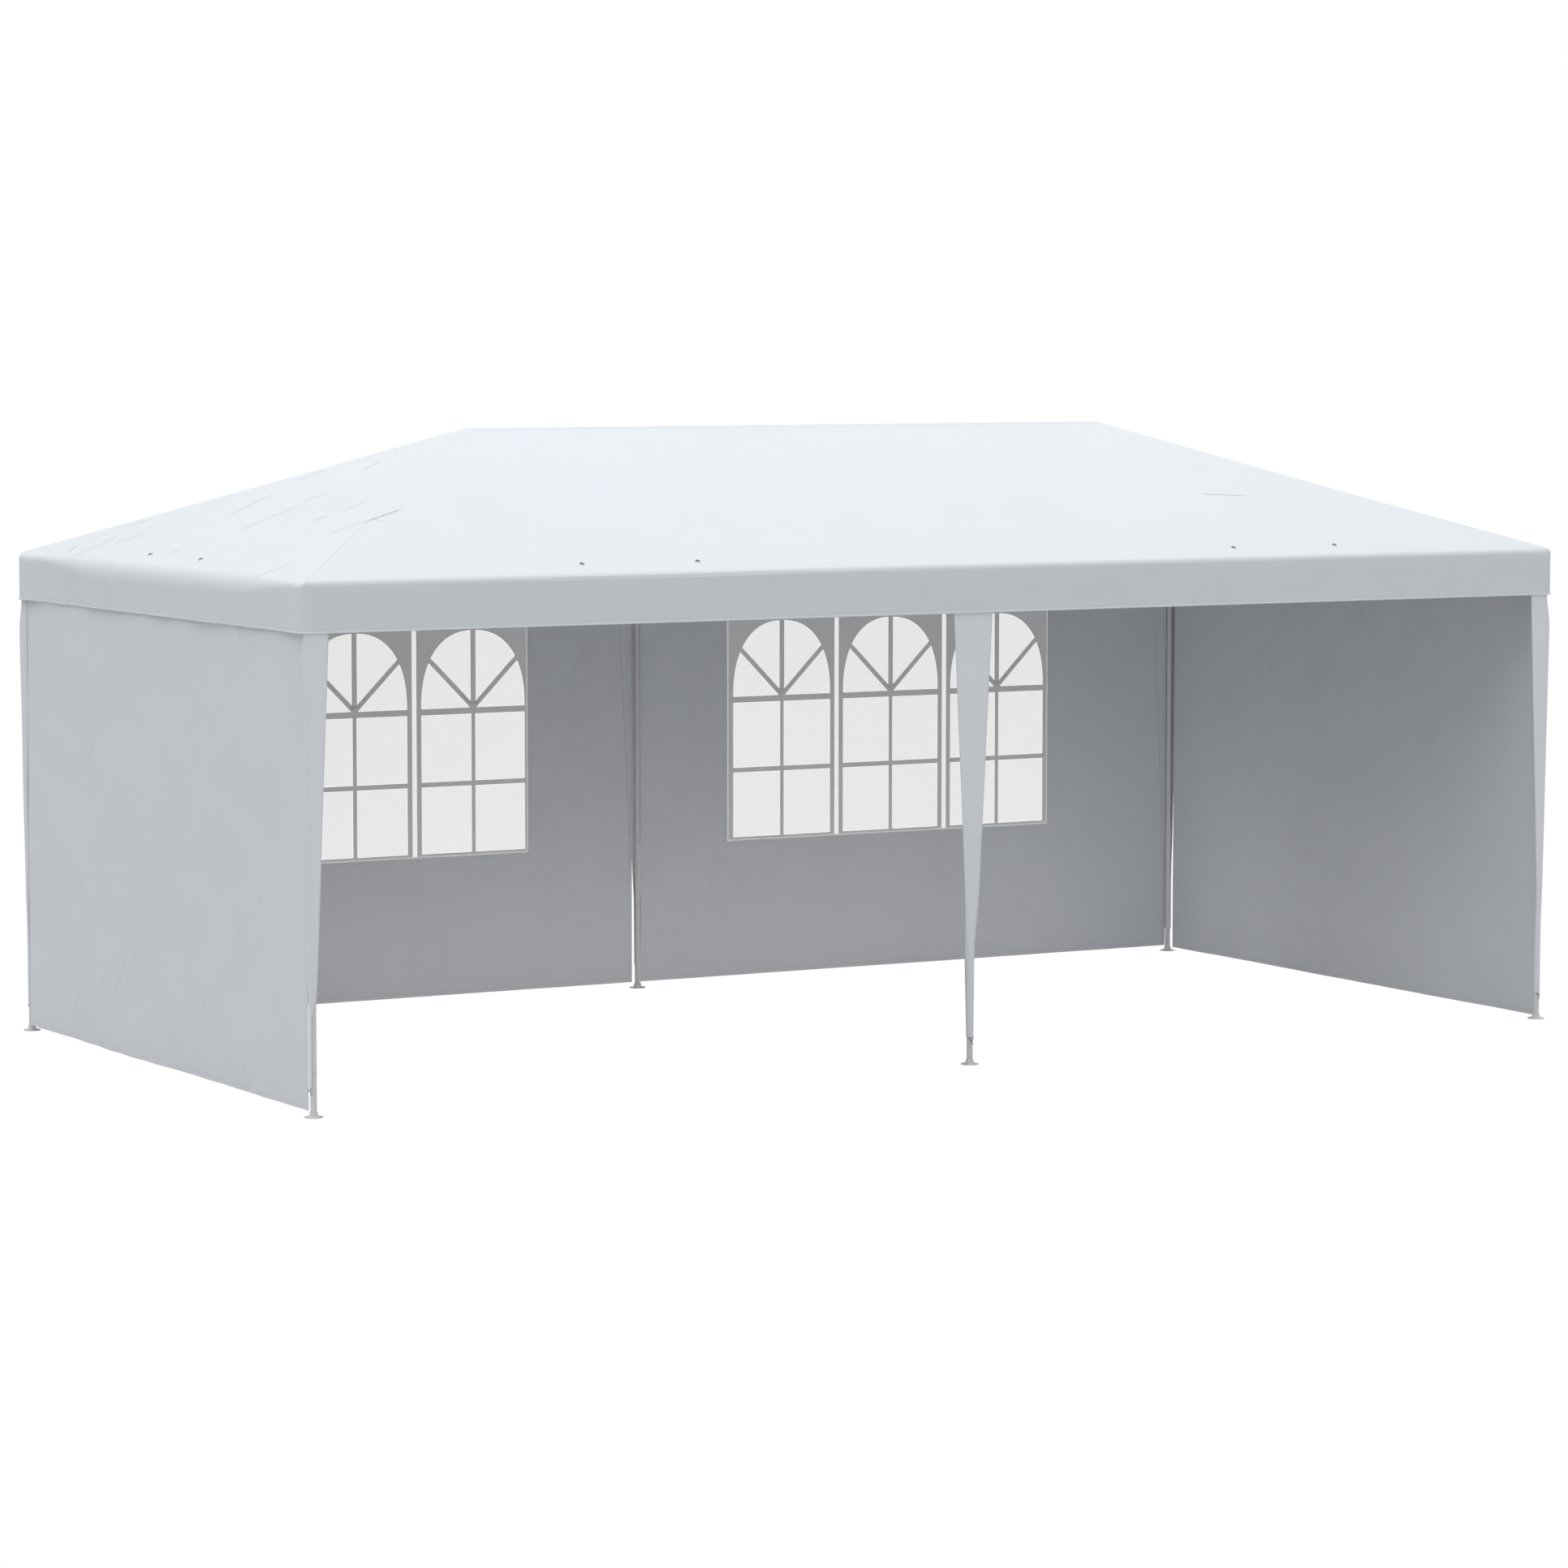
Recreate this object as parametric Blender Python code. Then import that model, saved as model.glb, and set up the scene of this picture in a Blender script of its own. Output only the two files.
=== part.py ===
"""Marquee tent: steel tube frame, hip roof cover with a valance, six leg covers and four walls.

Metres, +Z up. The origin is on the floor under the middle of the tent. +X runs along the length,
and the open long side, the front, faces -Y.
"""

import math
from itertools import combinations, product

import bmesh
import bpy
from mathutils import Matrix, Vector

# Frame lines: the axes of the legs, of the eave tubes and of the ridge
LEG_SPAN_X = 5.80
LEG_SPAN_Y = 2.855
MIDDLE_X = 0.02
EAVE_Z = 2.02
RIDGE_Z = 2.551
RIDGE_HALF = 1.54

# Tubes and the welded sockets that join them
LOWER_LEG_RADIUS = 0.0125
TUBE_RADIUS = 0.0110
SOCKET_RADIUS = 0.0125
SOCKET_LENGTH = 0.085
SOCKET_FLOOR = 0.030
HUB_RADIUS = 0.0122
HUB_RINGS = 8
OPPOSITE = -0.999
LEG_JOINT_Z = 0.618
LEG_JOINT_LENGTH = 0.008
SWAGE_Z = 1.230
SWAGE_LENGTH = 0.003
SWAGE_DEPTH = 0.0005
SIDES = 16
SHARP_DEGREES = 40
UPRIGHT = 0.99

# Feet
DISC_RADIUS = 0.036
DISC_THICKNESS = 0.0035
COLLAR_TOP_Z = 0.0205
COLLAR_BASE_RADIUS = 0.0185
COLLAR_TOP_RADIUS = 0.0150
PEG_HOLE_RADIUS = 0.0035
PEG_HOLE_REACH = 0.0285
FOOT_SIDES = 32

# Sheets, told apart by how far they hang outside the frame lines
GAP = 0.0003
SHEET = 0.0020
ROOF_CLEARANCE = 0.0008
END_SLACK = 0.0206
VALANCE_BOTTOM_Z = 1.837
WALL_TOP_Z = EAVE_Z
WALL_BOTTOM_Z = 0.025
WALL_EDGE = 0.022
CORNER_EASE = 0.005
CORNER_STEPS = 6
NEARLY_PARALLEL = 1e-6
ON_PLANE = 1e-6
FLAT_ANGLE = 0.001

# Leg covers: half widths of the middle ones, and the reach of the corner ones along each wall
COVER_TOP_Z = 2.000
COVER_KNEE_Z = 0.420
COVER_BOTTOM_Z = 0.112
COVER_TOP_HALF = 0.098
COVER_KNEE_HALF = 0.0190
COVER_BOTTOM_HALF = 0.0145
CORNER_FRONT_REACH = 0.086
CORNER_END_REACH = 0.060
CORNER_LOW_REACH = 0.0125

# Window groups of the back walls
GROUP_WIDTH = 1.725
GROUP_BOTTOM_Z = 0.641
GROUP_TOP_Z = 1.700
GROUP_CENTRES = {"left": -1.3806, "right": 1.3565}
FILM = 0.0010
CUT_REACH = 0.05

HALF_X = LEG_SPAN_X / 2
HALF_Y = LEG_SPAN_Y / 2
WALL_IN = SOCKET_RADIUS + GAP
WALL_OUT = WALL_IN + SHEET
COVER_IN = WALL_OUT + GAP
COVER_OUT = COVER_IN + SHEET
VALANCE_IN = COVER_OUT + GAP
VALANCE_OUT = VALANCE_IN + SHEET
ROOF_IN = SOCKET_RADIUS + ROOF_CLEARANCE
ROOF_OUT = ROOF_IN + SHEET
SIDE_PITCH = math.atan2(RIDGE_Z - EAVE_Z, HALF_Y)
END_PITCH = math.atan2(RIDGE_Z - EAVE_Z, HALF_X - RIDGE_HALF)

SIDES_OF_TENT = {"front": -1, "back": 1}
ENDS_OF_TENT = {"left": -1, "right": 1}
COLUMNS = {"left": -HALF_X, "middle": MIDDLE_X, "right": HALF_X}


def clear_scene():
    """Remove what the scene holds, so that only the tent is left."""
    for obj in list(bpy.context.scene.objects):
        bpy.data.objects.remove(obj, do_unlink=True)


def make_material(name, colour, roughness, metallic=0.0, alpha=1.0):
    """A Principled material with one plain finish."""
    material = bpy.data.materials.new(name)
    material.use_nodes = True
    surface = material.node_tree.nodes["Principled BSDF"]
    surface.inputs["Base Color"].default_value = (*colour, 1.0)
    surface.inputs["Roughness"].default_value = roughness
    surface.inputs["Metallic"].default_value = metallic
    surface.inputs["Alpha"].default_value = alpha
    material.diffuse_color = (*colour, alpha)
    return material


def shade_round(mesh):
    """Shade round faces smooth and keep real edges sharp."""
    mesh.shade_smooth()
    mesh.set_sharp_from_angle(angle=math.radians(SHARP_DEGREES))


def add_object(name, bm, material, smooth=False):
    """Turn a bmesh into a named object of the scene."""
    bmesh.ops.recalc_face_normals(bm, faces=bm.faces)
    mesh = bpy.data.meshes.new(name)
    bm.to_mesh(mesh)
    bm.free()
    mesh.materials.append(material)
    if smooth:
        shade_round(mesh)
    obj = bpy.data.objects.new(name, mesh)
    bpy.context.scene.collection.objects.link(obj)
    return obj


def loft(bm, rings, cap_start=True, cap_end=True):
    """Join rings of equal length with quads, and close the two ends."""
    made = [[bm.verts.new(point) for point in ring] for ring in rings]
    for lower, upper in zip(made, made[1:]):
        for index in range(len(lower)):
            after = (index + 1) % len(lower)
            bm.faces.new((lower[index], lower[after], upper[after], upper[index]))
    if cap_start:
        bm.faces.new(reversed(made[0]))
    if cap_end:
        bm.faces.new(made[-1])
    return made


def ring_points(centre, along, radius, sides):
    """A polygon of points round an axis, turned the same way for every tube on that axis."""
    along = Vector(along).normalized()
    reference = Vector((1, 0, 0)) if abs(along.z) > UPRIGHT else Vector((0, 0, 1))
    across = reference.cross(along).normalized()
    upright = along.cross(across)
    turns = [2 * math.pi * step / sides for step in range(sides)]
    return [centre + radius * (math.cos(t) * across + math.sin(t) * upright) for t in turns]


def tube_mesh(start, end, radius):
    """A bmesh holding one round bar."""
    bm = bmesh.new()
    along = end - start
    loft(bm, [ring_points(point, along, radius, SIDES) for point in (start, end)])
    return bm


def add_tube(name, start, end, material):
    """A tube between two frame points, cut back to sit on the socket floors at both ends."""
    along = (end - start).normalized()
    first = start + along * (SOCKET_FLOOR + GAP)
    last = end - along * (SOCKET_FLOOR + GAP)
    return add_object(name, tube_mesh(first, last, TUBE_RADIUS), material, smooth=True)


def apply_boolean(obj, cutter, operation):
    """Join the cutter to the object or take it away, then remove the cutter."""
    modifier = obj.modifiers.new(operation.lower(), "BOOLEAN")
    modifier.operation = operation
    modifier.object = cutter
    bpy.context.view_layer.update()
    graph = bpy.context.evaluated_depsgraph_get()
    result = bpy.data.meshes.new_from_object(obj.evaluated_get(graph))
    obj.modifiers.remove(modifier)
    obj.data = result
    bpy.data.objects.remove(cutter, do_unlink=True)


def socket_bars(centre, directions):
    """The bars that the sockets are cut from: opposite sockets share one straight bar."""
    bars = []
    left = list(directions)
    while left:
        along = left.pop(0)
        opposite = [other for other in left if along.dot(other) < OPPOSITE]
        left = [other for other in left if other not in opposite]
        start = centre - along * SOCKET_LENGTH if opposite else centre
        bars.append((start, centre + along * SOCKET_LENGTH))
    return bars


def add_fitting(name, centre, targets, material):
    """Welded sockets that point from one frame point at the ends of the tubes they hold."""
    bm = bmesh.new()
    bmesh.ops.create_uvsphere(bm, u_segments=SIDES, v_segments=HUB_RINGS, radius=HUB_RADIUS)
    bmesh.ops.translate(bm, verts=bm.verts, vec=centre)
    fitting = add_object(name, bm, material)
    directions = [(target - centre).normalized() for target in targets]
    for start, end in socket_bars(centre, directions):
        bar = add_object("socket", tube_mesh(start, end, SOCKET_RADIUS), material)
        apply_boolean(fitting, bar, "UNION")
    for along in directions:
        floor = centre + along * SOCKET_FLOOR
        mouth = centre + along * (SOCKET_LENGTH + SOCKET_FLOOR)
        bore = tube_mesh(floor, mouth, TUBE_RADIUS + GAP)
        apply_boolean(fitting, add_object("bore", bore, material), "DIFFERENCE")
    shade_round(fitting.data)
    return fitting


def add_leg(name, x, y, material):
    """A leg of plugged sections: the lowest is the widest, and a swage marks the upper joint."""
    low = DISC_THICKNESS + GAP
    narrow = TUBE_RADIUS - SWAGE_DEPTH
    profile = (
        (LOWER_LEG_RADIUS, low),
        (LOWER_LEG_RADIUS, LEG_JOINT_Z - LEG_JOINT_LENGTH),
        (TUBE_RADIUS, LEG_JOINT_Z),
        (TUBE_RADIUS, SWAGE_Z),
        (narrow, SWAGE_Z + SWAGE_LENGTH),
        (narrow, SWAGE_Z + 2 * SWAGE_LENGTH),
        (TUBE_RADIUS, SWAGE_Z + 3 * SWAGE_LENGTH),
        (TUBE_RADIUS, EAVE_Z - SOCKET_FLOOR - GAP),
    )
    bm = bmesh.new()
    loft(bm, [ring_points(Vector((x, y, z)), (0, 0, 1), r, SIDES) for r, z in profile])
    return add_object(name, bm, material, smooth=True)


def add_foot(name, x, y, material):
    """A flat disc with a conical collar, a blind socket for the leg and two peg holes."""
    profile = (
        (DISC_RADIUS, 0.0),
        (DISC_RADIUS, DISC_THICKNESS),
        (COLLAR_BASE_RADIUS, DISC_THICKNESS),
        (COLLAR_TOP_RADIUS, COLLAR_TOP_Z),
        (LOWER_LEG_RADIUS + GAP, COLLAR_TOP_Z),
        (LOWER_LEG_RADIUS + GAP, DISC_THICKNESS),
    )
    bm = bmesh.new()
    loft(bm, [ring_points(Vector((x, y, z)), (0, 0, 1), r, FOOT_SIDES) for r, z in profile])
    foot = add_object(name, bm, material)
    for side in (-1, 1):
        centre = Vector((x + side * PEG_HOLE_REACH, y, 0))
        below = centre - Vector((0, 0, DISC_THICKNESS))
        above = centre + Vector((0, 0, 2 * DISC_THICKNESS))
        cutter = add_object("peg_hole", tube_mesh(below, above, PEG_HOLE_RADIUS), material)
        apply_boolean(foot, cutter, "DIFFERENCE")
    shade_round(foot.data)
    return foot


def add_box(name, low, high, material):
    """A plain box between two corners."""
    bm = bmesh.new()
    bmesh.ops.create_cube(bm, size=1)
    size = [b - a for a, b in zip(low, high)]
    bmesh.ops.scale(bm, verts=bm.verts, vec=size)
    bmesh.ops.translate(bm, verts=bm.verts, vec=[(a + b) / 2 for a, b in zip(low, high)])
    return add_object(name, bm, material)


def slope_normals():
    """Outward normals of the four slopes of the roof."""
    normals = {}
    for side, sign in SIDES_OF_TENT.items():
        normals[side] = Vector((0, sign * math.sin(SIDE_PITCH), math.cos(SIDE_PITCH)))
    for end, sign in ENDS_OF_TENT.items():
        normals[end] = Vector((sign * math.sin(END_PITCH), 0, math.cos(END_PITCH)))
    return normals


def slope_distance(place, normal):
    """How far the plane of a slope's tube axes lies from the origin along the slope's normal."""
    ridge = Vector((ENDS_OF_TENT.get(place, 1) * RIDGE_HALF, 0, RIDGE_Z))
    return normal.dot(ridge)


def outward(place):
    """The level direction that one side or end of the tent faces."""
    return Vector((ENDS_OF_TENT.get(place, 0), SIDES_OF_TENT.get(place, 0), 0))


def valance_plane(place, reach):
    """The upright plane that stands at a reach outside one side or end, with the ends' slack."""
    if place in SIDES_OF_TENT:
        return outward(place), HALF_Y + reach
    return outward(place), HALF_X + END_SLACK + reach


def meeting_point(planes):
    """The point where three planes meet, or None where they don't."""
    normals = Matrix([normal for normal, _ in planes])
    if abs(normals.determinant()) < NEARLY_PARALLEL:
        return None
    return normals.inverted() @ Vector([distance for _, distance in planes])


def add_plate(name, planes, material):
    """The convex plate that lies behind every one of the planes, each a normal and a distance."""
    bm = bmesh.new()
    for three in combinations(planes, 3):
        point = meeting_point(three)
        if point and all(normal.dot(point) < distance + ON_PLANE for normal, distance in planes):
            bm.verts.new(point)
    bmesh.ops.remove_doubles(bm, verts=bm.verts, dist=ON_PLANE)
    bmesh.ops.convex_hull(bm, input=bm.verts)
    bmesh.ops.dissolve_limit(bm, angle_limit=FLAT_ANGLE, verts=bm.verts, edges=bm.edges)
    return add_object(name, bm, material)


def add_roof_panel(place, normals, material):
    """One flat slope of the roof sheet, which ends halfway to its neighbours and at the valance."""
    normal = normals[place]
    axes = slope_distance(place, normal)
    planes = [(normal, axes + ROOF_OUT), (-normal, -axes - ROOF_IN)]
    planes += [valance_plane(side, VALANCE_OUT) for side in normals]
    for other in normals:
        if other == place or (place in ENDS_OF_TENT and other in ENDS_OF_TENT):
            continue
        difference = normals[other] - normal
        halfway = (slope_distance(other, normals[other]) - axes) / difference.length
        planes.append((difference.normalized(), halfway - GAP / 2))
    return add_plate(f"roof_panel_{place}", planes, material)


def add_valance(place, normals, material):
    """The strip that hangs from the edge of one slope, mitred at the tent's corners."""
    face, reach = valance_plane(place, VALANCE_OUT)
    planes = [(face, reach), (-face, SHEET - reach), (Vector((0, 0, -1)), -VALANCE_BOTTOM_Z)]
    for side, normal in normals.items():
        planes.append((normal, slope_distance(side, normal) + ROOF_IN - GAP))
        other_face, other_reach = valance_plane(side, VALANCE_OUT)
        if face.dot(other_face) == 0:
            mitre = (other_face - face).normalized()
            planes.append((mitre, (other_reach - reach) / math.sqrt(2) - GAP / 2))
    return add_plate(f"valance_{place}", planes, material)


def cover_levels():
    """Heights of a leg cover, each with its half width and how far its folded corner spreads."""
    return (
        (COVER_BOTTOM_Z, COVER_BOTTOM_HALF, 0.0),
        (COVER_KNEE_Z, COVER_KNEE_HALF, 0.0),
        (COVER_TOP_Z, COVER_TOP_HALF, 1.0),
    )


def add_middle_cover(name, x, side, material):
    """A flat strip outside a middle leg, wide at the eave and as narrow as the leg below."""
    inside = side * (HALF_Y + COVER_IN)
    outside = side * (HALF_Y + COVER_OUT)
    rings = []
    for z, half, _ in cover_levels():
        corners = ((-half, inside), (half, inside), (half, outside), (-half, outside))
        rings.append([Vector((x + across, y, z)) for across, y in corners])
    bm = bmesh.new()
    loft(bm, rings)
    return add_object(name, bm, material)


def corner_section(end, side, z, spread):
    """Outline of a corner cover at one height: along the side, round the corner, along the end."""
    slack = spread * END_SLACK
    side_reach = CORNER_LOW_REACH + spread * (CORNER_FRONT_REACH - CORNER_LOW_REACH)
    end_reach = CORNER_LOW_REACH + spread * (CORNER_END_REACH - CORNER_LOW_REACH)
    outline = []
    for reach, order in ((COVER_OUT, 1), (COVER_IN, -1)):
        face = [(-side_reach, reach)]
        for step in range(CORNER_STEPS + 1):
            turn = math.pi / 2 * (1 - step / CORNER_STEPS)
            out_x = (reach + slack + CORNER_EASE) * math.cos(turn) - CORNER_EASE
            out_y = (reach + CORNER_EASE) * math.sin(turn) - CORNER_EASE
            face.append((out_x, out_y))
        face.append((reach + slack, -end_reach))
        outline += face[::order]
    return [Vector((end * (HALF_X + u), side * (HALF_Y + v), z)) for u, v in outline]


def add_corner_cover(name, end, side, material):
    """A strip folded round the outer corner of a corner leg."""
    rings = [corner_section(end, side, z, spread) for z, _, spread in cover_levels()]
    bm = bmesh.new()
    loft(bm, rings)
    return add_object(name, bm, material)


def add_end_wall(name, end, material):
    """A plain sheet from corner leg to corner leg at one end."""
    faces = sorted((end * (HALF_X + WALL_IN), end * (HALF_X + WALL_OUT)))
    reach = HALF_Y - WALL_EDGE
    low = (faces[0], -reach, WALL_BOTTOM_Z)
    return add_box(name, low, (faces[1], reach, WALL_TOP_Z), material)


def add_back_wall(place, left_x, right_x, wall_material, film_material):
    """A back sheet with a cut-out, and the clear film that closes the cut-out."""
    low = (left_x + WALL_EDGE, HALF_Y + WALL_IN, WALL_BOTTOM_Z)
    high = (right_x - WALL_EDGE, HALF_Y + WALL_OUT, WALL_TOP_Z)
    wall = add_box(f"back_wall_{place}", low, high, wall_material)
    centre = GROUP_CENTRES[place]
    left = centre - GROUP_WIDTH / 2
    right = centre + GROUP_WIDTH / 2
    cutter = add_box(
        "cut_out",
        (left, low[1] - CUT_REACH, GROUP_BOTTOM_Z),
        (right, high[1] + CUT_REACH, GROUP_TOP_Z),
        wall_material,
    )
    apply_boolean(wall, cutter, "DIFFERENCE")
    middle = (low[1] + high[1]) / 2
    add_box(
        f"window_film_{place}",
        (left + GAP, middle - FILM / 2, GROUP_BOTTOM_Z + GAP),
        (right - GAP, middle + FILM / 2, GROUP_TOP_Z - GAP),
        film_material,
    )


def build_frame(steel, plastic):
    """Legs, feet, sockets, eave tubes, rafters and ridge."""
    eave = {
        (side, column): Vector((x, sign * HALF_Y, EAVE_Z))
        for (side, sign), (column, x) in product(SIDES_OF_TENT.items(), COLUMNS.items())
    }
    ridge = {
        "left": Vector((-RIDGE_HALF, 0, RIDGE_Z)),
        "middle": Vector((MIDDLE_X, 0, RIDGE_Z)),
        "right": Vector((RIDGE_HALF, 0, RIDGE_Z)),
    }
    for (side, column), point in eave.items():
        add_leg(f"leg_{side}_{column}", point.x, point.y, steel)
        add_foot(f"foot_{side}_{column}", point.x, point.y, plastic)
        below = point - Vector((0, 0, 1))
        if column == "middle":
            targets = (below, eave[side, "left"], eave[side, "right"], ridge["middle"])
            add_fitting(f"eave_connector_{side}_middle", point, targets, steel)
            add_tube(f"middle_rafter_{side}", point, ridge["middle"], steel)
            continue
        other_side = "back" if side == "front" else "front"
        targets = (below, eave[side, "middle"], eave[other_side, column], ridge[column])
        add_fitting(f"corner_connector_{side}_{column}", point, targets, steel)
        add_tube(f"hip_rafter_{side}_{column}", point, ridge[column], steel)
        add_tube(f"eave_tube_{side}_{column}", point, eave[side, "middle"], steel)
    for end in ENDS_OF_TENT:
        add_tube(f"eave_tube_{end}_end", eave["front", end], eave["back", end], steel)
        targets = (ridge["middle"], eave["front", end], eave["back", end])
        add_fitting(f"ridge_connector_{end}", ridge[end], targets, steel)
        add_tube(f"ridge_tube_{end}", ridge[end], ridge["middle"], steel)
    targets = (ridge["left"], ridge["right"], eave["front", "middle"], eave["back", "middle"])
    add_fitting("ridge_connector_middle", ridge["middle"], targets, steel)


def build_sheets(roof, wall, film):
    """Roof panels, valance, leg covers, walls and window films."""
    normals = slope_normals()
    for place in normals:
        add_roof_panel(place, normals, roof)
        add_valance(place, normals, roof)
    for side, sign in SIDES_OF_TENT.items():
        add_middle_cover(f"leg_cover_{side}_middle", MIDDLE_X, sign, wall)
        for end, end_sign in ENDS_OF_TENT.items():
            add_corner_cover(f"leg_cover_{side}_{end}", end_sign, sign, wall)
    for end, end_sign in ENDS_OF_TENT.items():
        add_end_wall(f"end_wall_{end}", end_sign, wall)
    add_back_wall("left", -HALF_X, MIDDLE_X, wall, film)
    add_back_wall("right", MIDDLE_X, HALF_X, wall, film)


def main():
    """Build the tent."""
    clear_scene()
    steel = make_material("white_coated_steel", (0.62, 0.63, 0.65), 0.42, metallic=0.1)
    plastic = make_material("white_plastic", (0.66, 0.67, 0.68), 0.5)
    roof = make_material("white_roof_sheet", (0.83, 0.86, 0.88), 0.55)
    wall = make_material("white_wall_sheet", (0.78, 0.80, 0.83), 0.6)
    film = make_material("clear_film", (0.82, 0.83, 0.84), 0.15, alpha=0.35)
    build_frame(steel, plastic)
    build_sheets(roof, wall, film)


main()
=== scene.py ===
"""Marquee tent, dressed: sheets, windows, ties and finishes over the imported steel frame.

Metres, +Z up, in the frame's own axes. +X runs along the length, and the open front faces -Y.
"""

import logging
import math
from collections.abc import Iterable, Sequence
from dataclasses import dataclass
from enum import Enum

import bmesh
import bpy
import numpy as np
from mathutils import Matrix, Vector


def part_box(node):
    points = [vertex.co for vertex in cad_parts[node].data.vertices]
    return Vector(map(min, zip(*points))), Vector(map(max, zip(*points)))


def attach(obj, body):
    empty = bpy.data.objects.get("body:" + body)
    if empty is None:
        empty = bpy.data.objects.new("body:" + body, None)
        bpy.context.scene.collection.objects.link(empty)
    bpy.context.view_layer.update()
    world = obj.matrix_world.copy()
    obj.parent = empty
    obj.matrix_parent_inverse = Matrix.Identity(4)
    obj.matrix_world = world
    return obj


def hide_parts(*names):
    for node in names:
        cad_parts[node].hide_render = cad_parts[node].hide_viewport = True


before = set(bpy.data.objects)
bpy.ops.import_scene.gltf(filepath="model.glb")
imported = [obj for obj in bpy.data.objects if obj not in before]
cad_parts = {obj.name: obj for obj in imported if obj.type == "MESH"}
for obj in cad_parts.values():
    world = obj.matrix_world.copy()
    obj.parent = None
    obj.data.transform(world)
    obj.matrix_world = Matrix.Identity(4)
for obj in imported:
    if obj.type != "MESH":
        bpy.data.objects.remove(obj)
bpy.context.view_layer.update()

Array = np.ndarray
Piece = bpy.types.Object
Socket = bpy.types.NodeSocket
NodeTree = bpy.types.NodeTree

LOG = logging.getLogger("marquee")
BODY = "root"
SHEET_THICKNESS = 0.0006
HEM_WIDTH = 0.020
HEM_LOOPS = (0.0015, 0.005, 0.012, 0.020)
COVER_KNEE, COVER_TOP = 0.42, 2.0
COVER_KNEE_HALF, COVER_TOP_HALF = 0.019, 0.098
CORD_RADIUS = 0.0010
UP = np.array([0.0, 0.0, 1.0])


class Way(Enum):
    """A way out of the tent, with the sign that its axis has there."""

    @property
    def word(self) -> str:
        """Its name as the frame's nodes spell it."""
        return self.name.lower()


class Side(Way):
    """A long side of the tent, along Y."""

    FRONT = -1
    BACK = 1


class End(Way):
    """A short end of the tent, along X."""

    LEFT = -1
    RIGHT = 1


@dataclass(frozen=True)
class TentLines:
    """The axes of legs, eaves and ridge, and how far outside them the sheets lie.

    Attributes:
        half_x: Half the distance between the corner legs along X.
        half_y: Half the distance between the front and back legs.
        middle_x: X of the middle legs.
        eave_z: Height of the eave tubes' axes.
        ridge_z: Height of the ridge tube's axis.
        ridge_half: Half the ridge's length.
        stand_off: Height of the roof sheet's middle over the tube axes, square to the slope.
        side_reach: Distance of the valance outside the leg axes on the long sides.
        end_reach: The same at the ends, where the cover is cut longer.
        valance_z: Height of the valance's bottom edge.
        wall_reach: Distance of the walls outside the leg axes.
        cover_reach: Distance of the leg covers outside the leg axes.
    """

    half_x: float
    half_y: float
    middle_x: float
    eave_z: float
    ridge_z: float
    ridge_half: float
    stand_off: float
    side_reach: float
    end_reach: float
    valance_z: float
    wall_reach: float
    cover_reach: float

    @property
    def side_pitch(self) -> float:
        """Slope angle of the long sides of the roof."""
        return math.atan2(self.ridge_z - self.eave_z, self.half_y)

    @property
    def end_pitch(self) -> float:
        """Slope angle of the ends of the roof."""
        return math.atan2(self.ridge_z - self.eave_z, self.half_x - self.ridge_half)


def middle_of(node: str) -> Array:
    """The middle of a node's box."""
    low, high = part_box(node)
    return (np.array(low) + np.array(high)) / 2


def read_lines(solid_sheet: float = 0.002) -> TentLines:
    """Work out the tent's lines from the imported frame.

    Args:
        solid_sheet: Thickness of the sheets in the frame.

    Returns:
        The lines that every sheet is laid along.
    """
    corner = middle_of("foot_front_right")
    eave_z = middle_of("eave_tube_front_left")[2]
    ridge_z = middle_of("ridge_tube_left")[2]
    pitch = math.atan2(ridge_z - eave_z, -corner[1])
    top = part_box("roof_panel_front")[1].z
    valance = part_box("valance_front")[0]
    return TentLines(
        half_x=corner[0],
        half_y=-corner[1],
        middle_x=middle_of("foot_front_middle")[0],
        eave_z=eave_z,
        ridge_z=ridge_z,
        ridge_half=-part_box("roof_panel_left")[1].x,
        stand_off=(top - ridge_z) * math.cos(pitch) - solid_sheet / 2,
        side_reach=corner[1] - valance.y - solid_sheet / 2,
        end_reach=-corner[0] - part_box("valance_left")[0].x - solid_sheet / 2,
        valance_z=valance.z,
        wall_reach=-corner[0] - middle_of("end_wall_left")[0],
        cover_reach=corner[1] - middle_of("leg_cover_front_middle")[1],
    )


def ease(values: Array | float, low: float, high: float) -> Array:
    """Rise smoothly from 0 at low to 1 at high: 3t2 - 2t3, with t the clipped share."""
    share = np.clip((np.asarray(values, float) - low) / (high - low), 0, 1)
    return share * share * (3 - 2 * share)


def ripple(u: Array, v: Array, wave: float, seed: int, lean: float = 1.0) -> Array:
    """A smooth wavy field of mean 0 and spread about 0.7.

    The sum of six sine waves of like length, in seeded directions, over the root of their number.

    Args:
        u: First coordinate, in metres.
        v: Second coordinate, in metres.
        wave: Middle wavelength, in metres.
        seed: Seed of the directions, lengths and phases.
        lean: How strongly the second coordinate counts; under 1 gives folds that run along it.

    Returns:
        The field at every point.
    """
    rng = np.random.default_rng(seed)
    heading = rng.uniform(0, math.pi, 6)
    length = wave * rng.uniform(0.7, 1.4, 6)
    start = rng.uniform(0, math.tau, 6)
    run = np.asarray(u)[..., None] * np.cos(heading)
    run = run + np.asarray(v)[..., None] * np.sin(heading) * lean
    return np.sin(run * math.tau / length + start).sum(-1) / math.sqrt(6)


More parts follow.
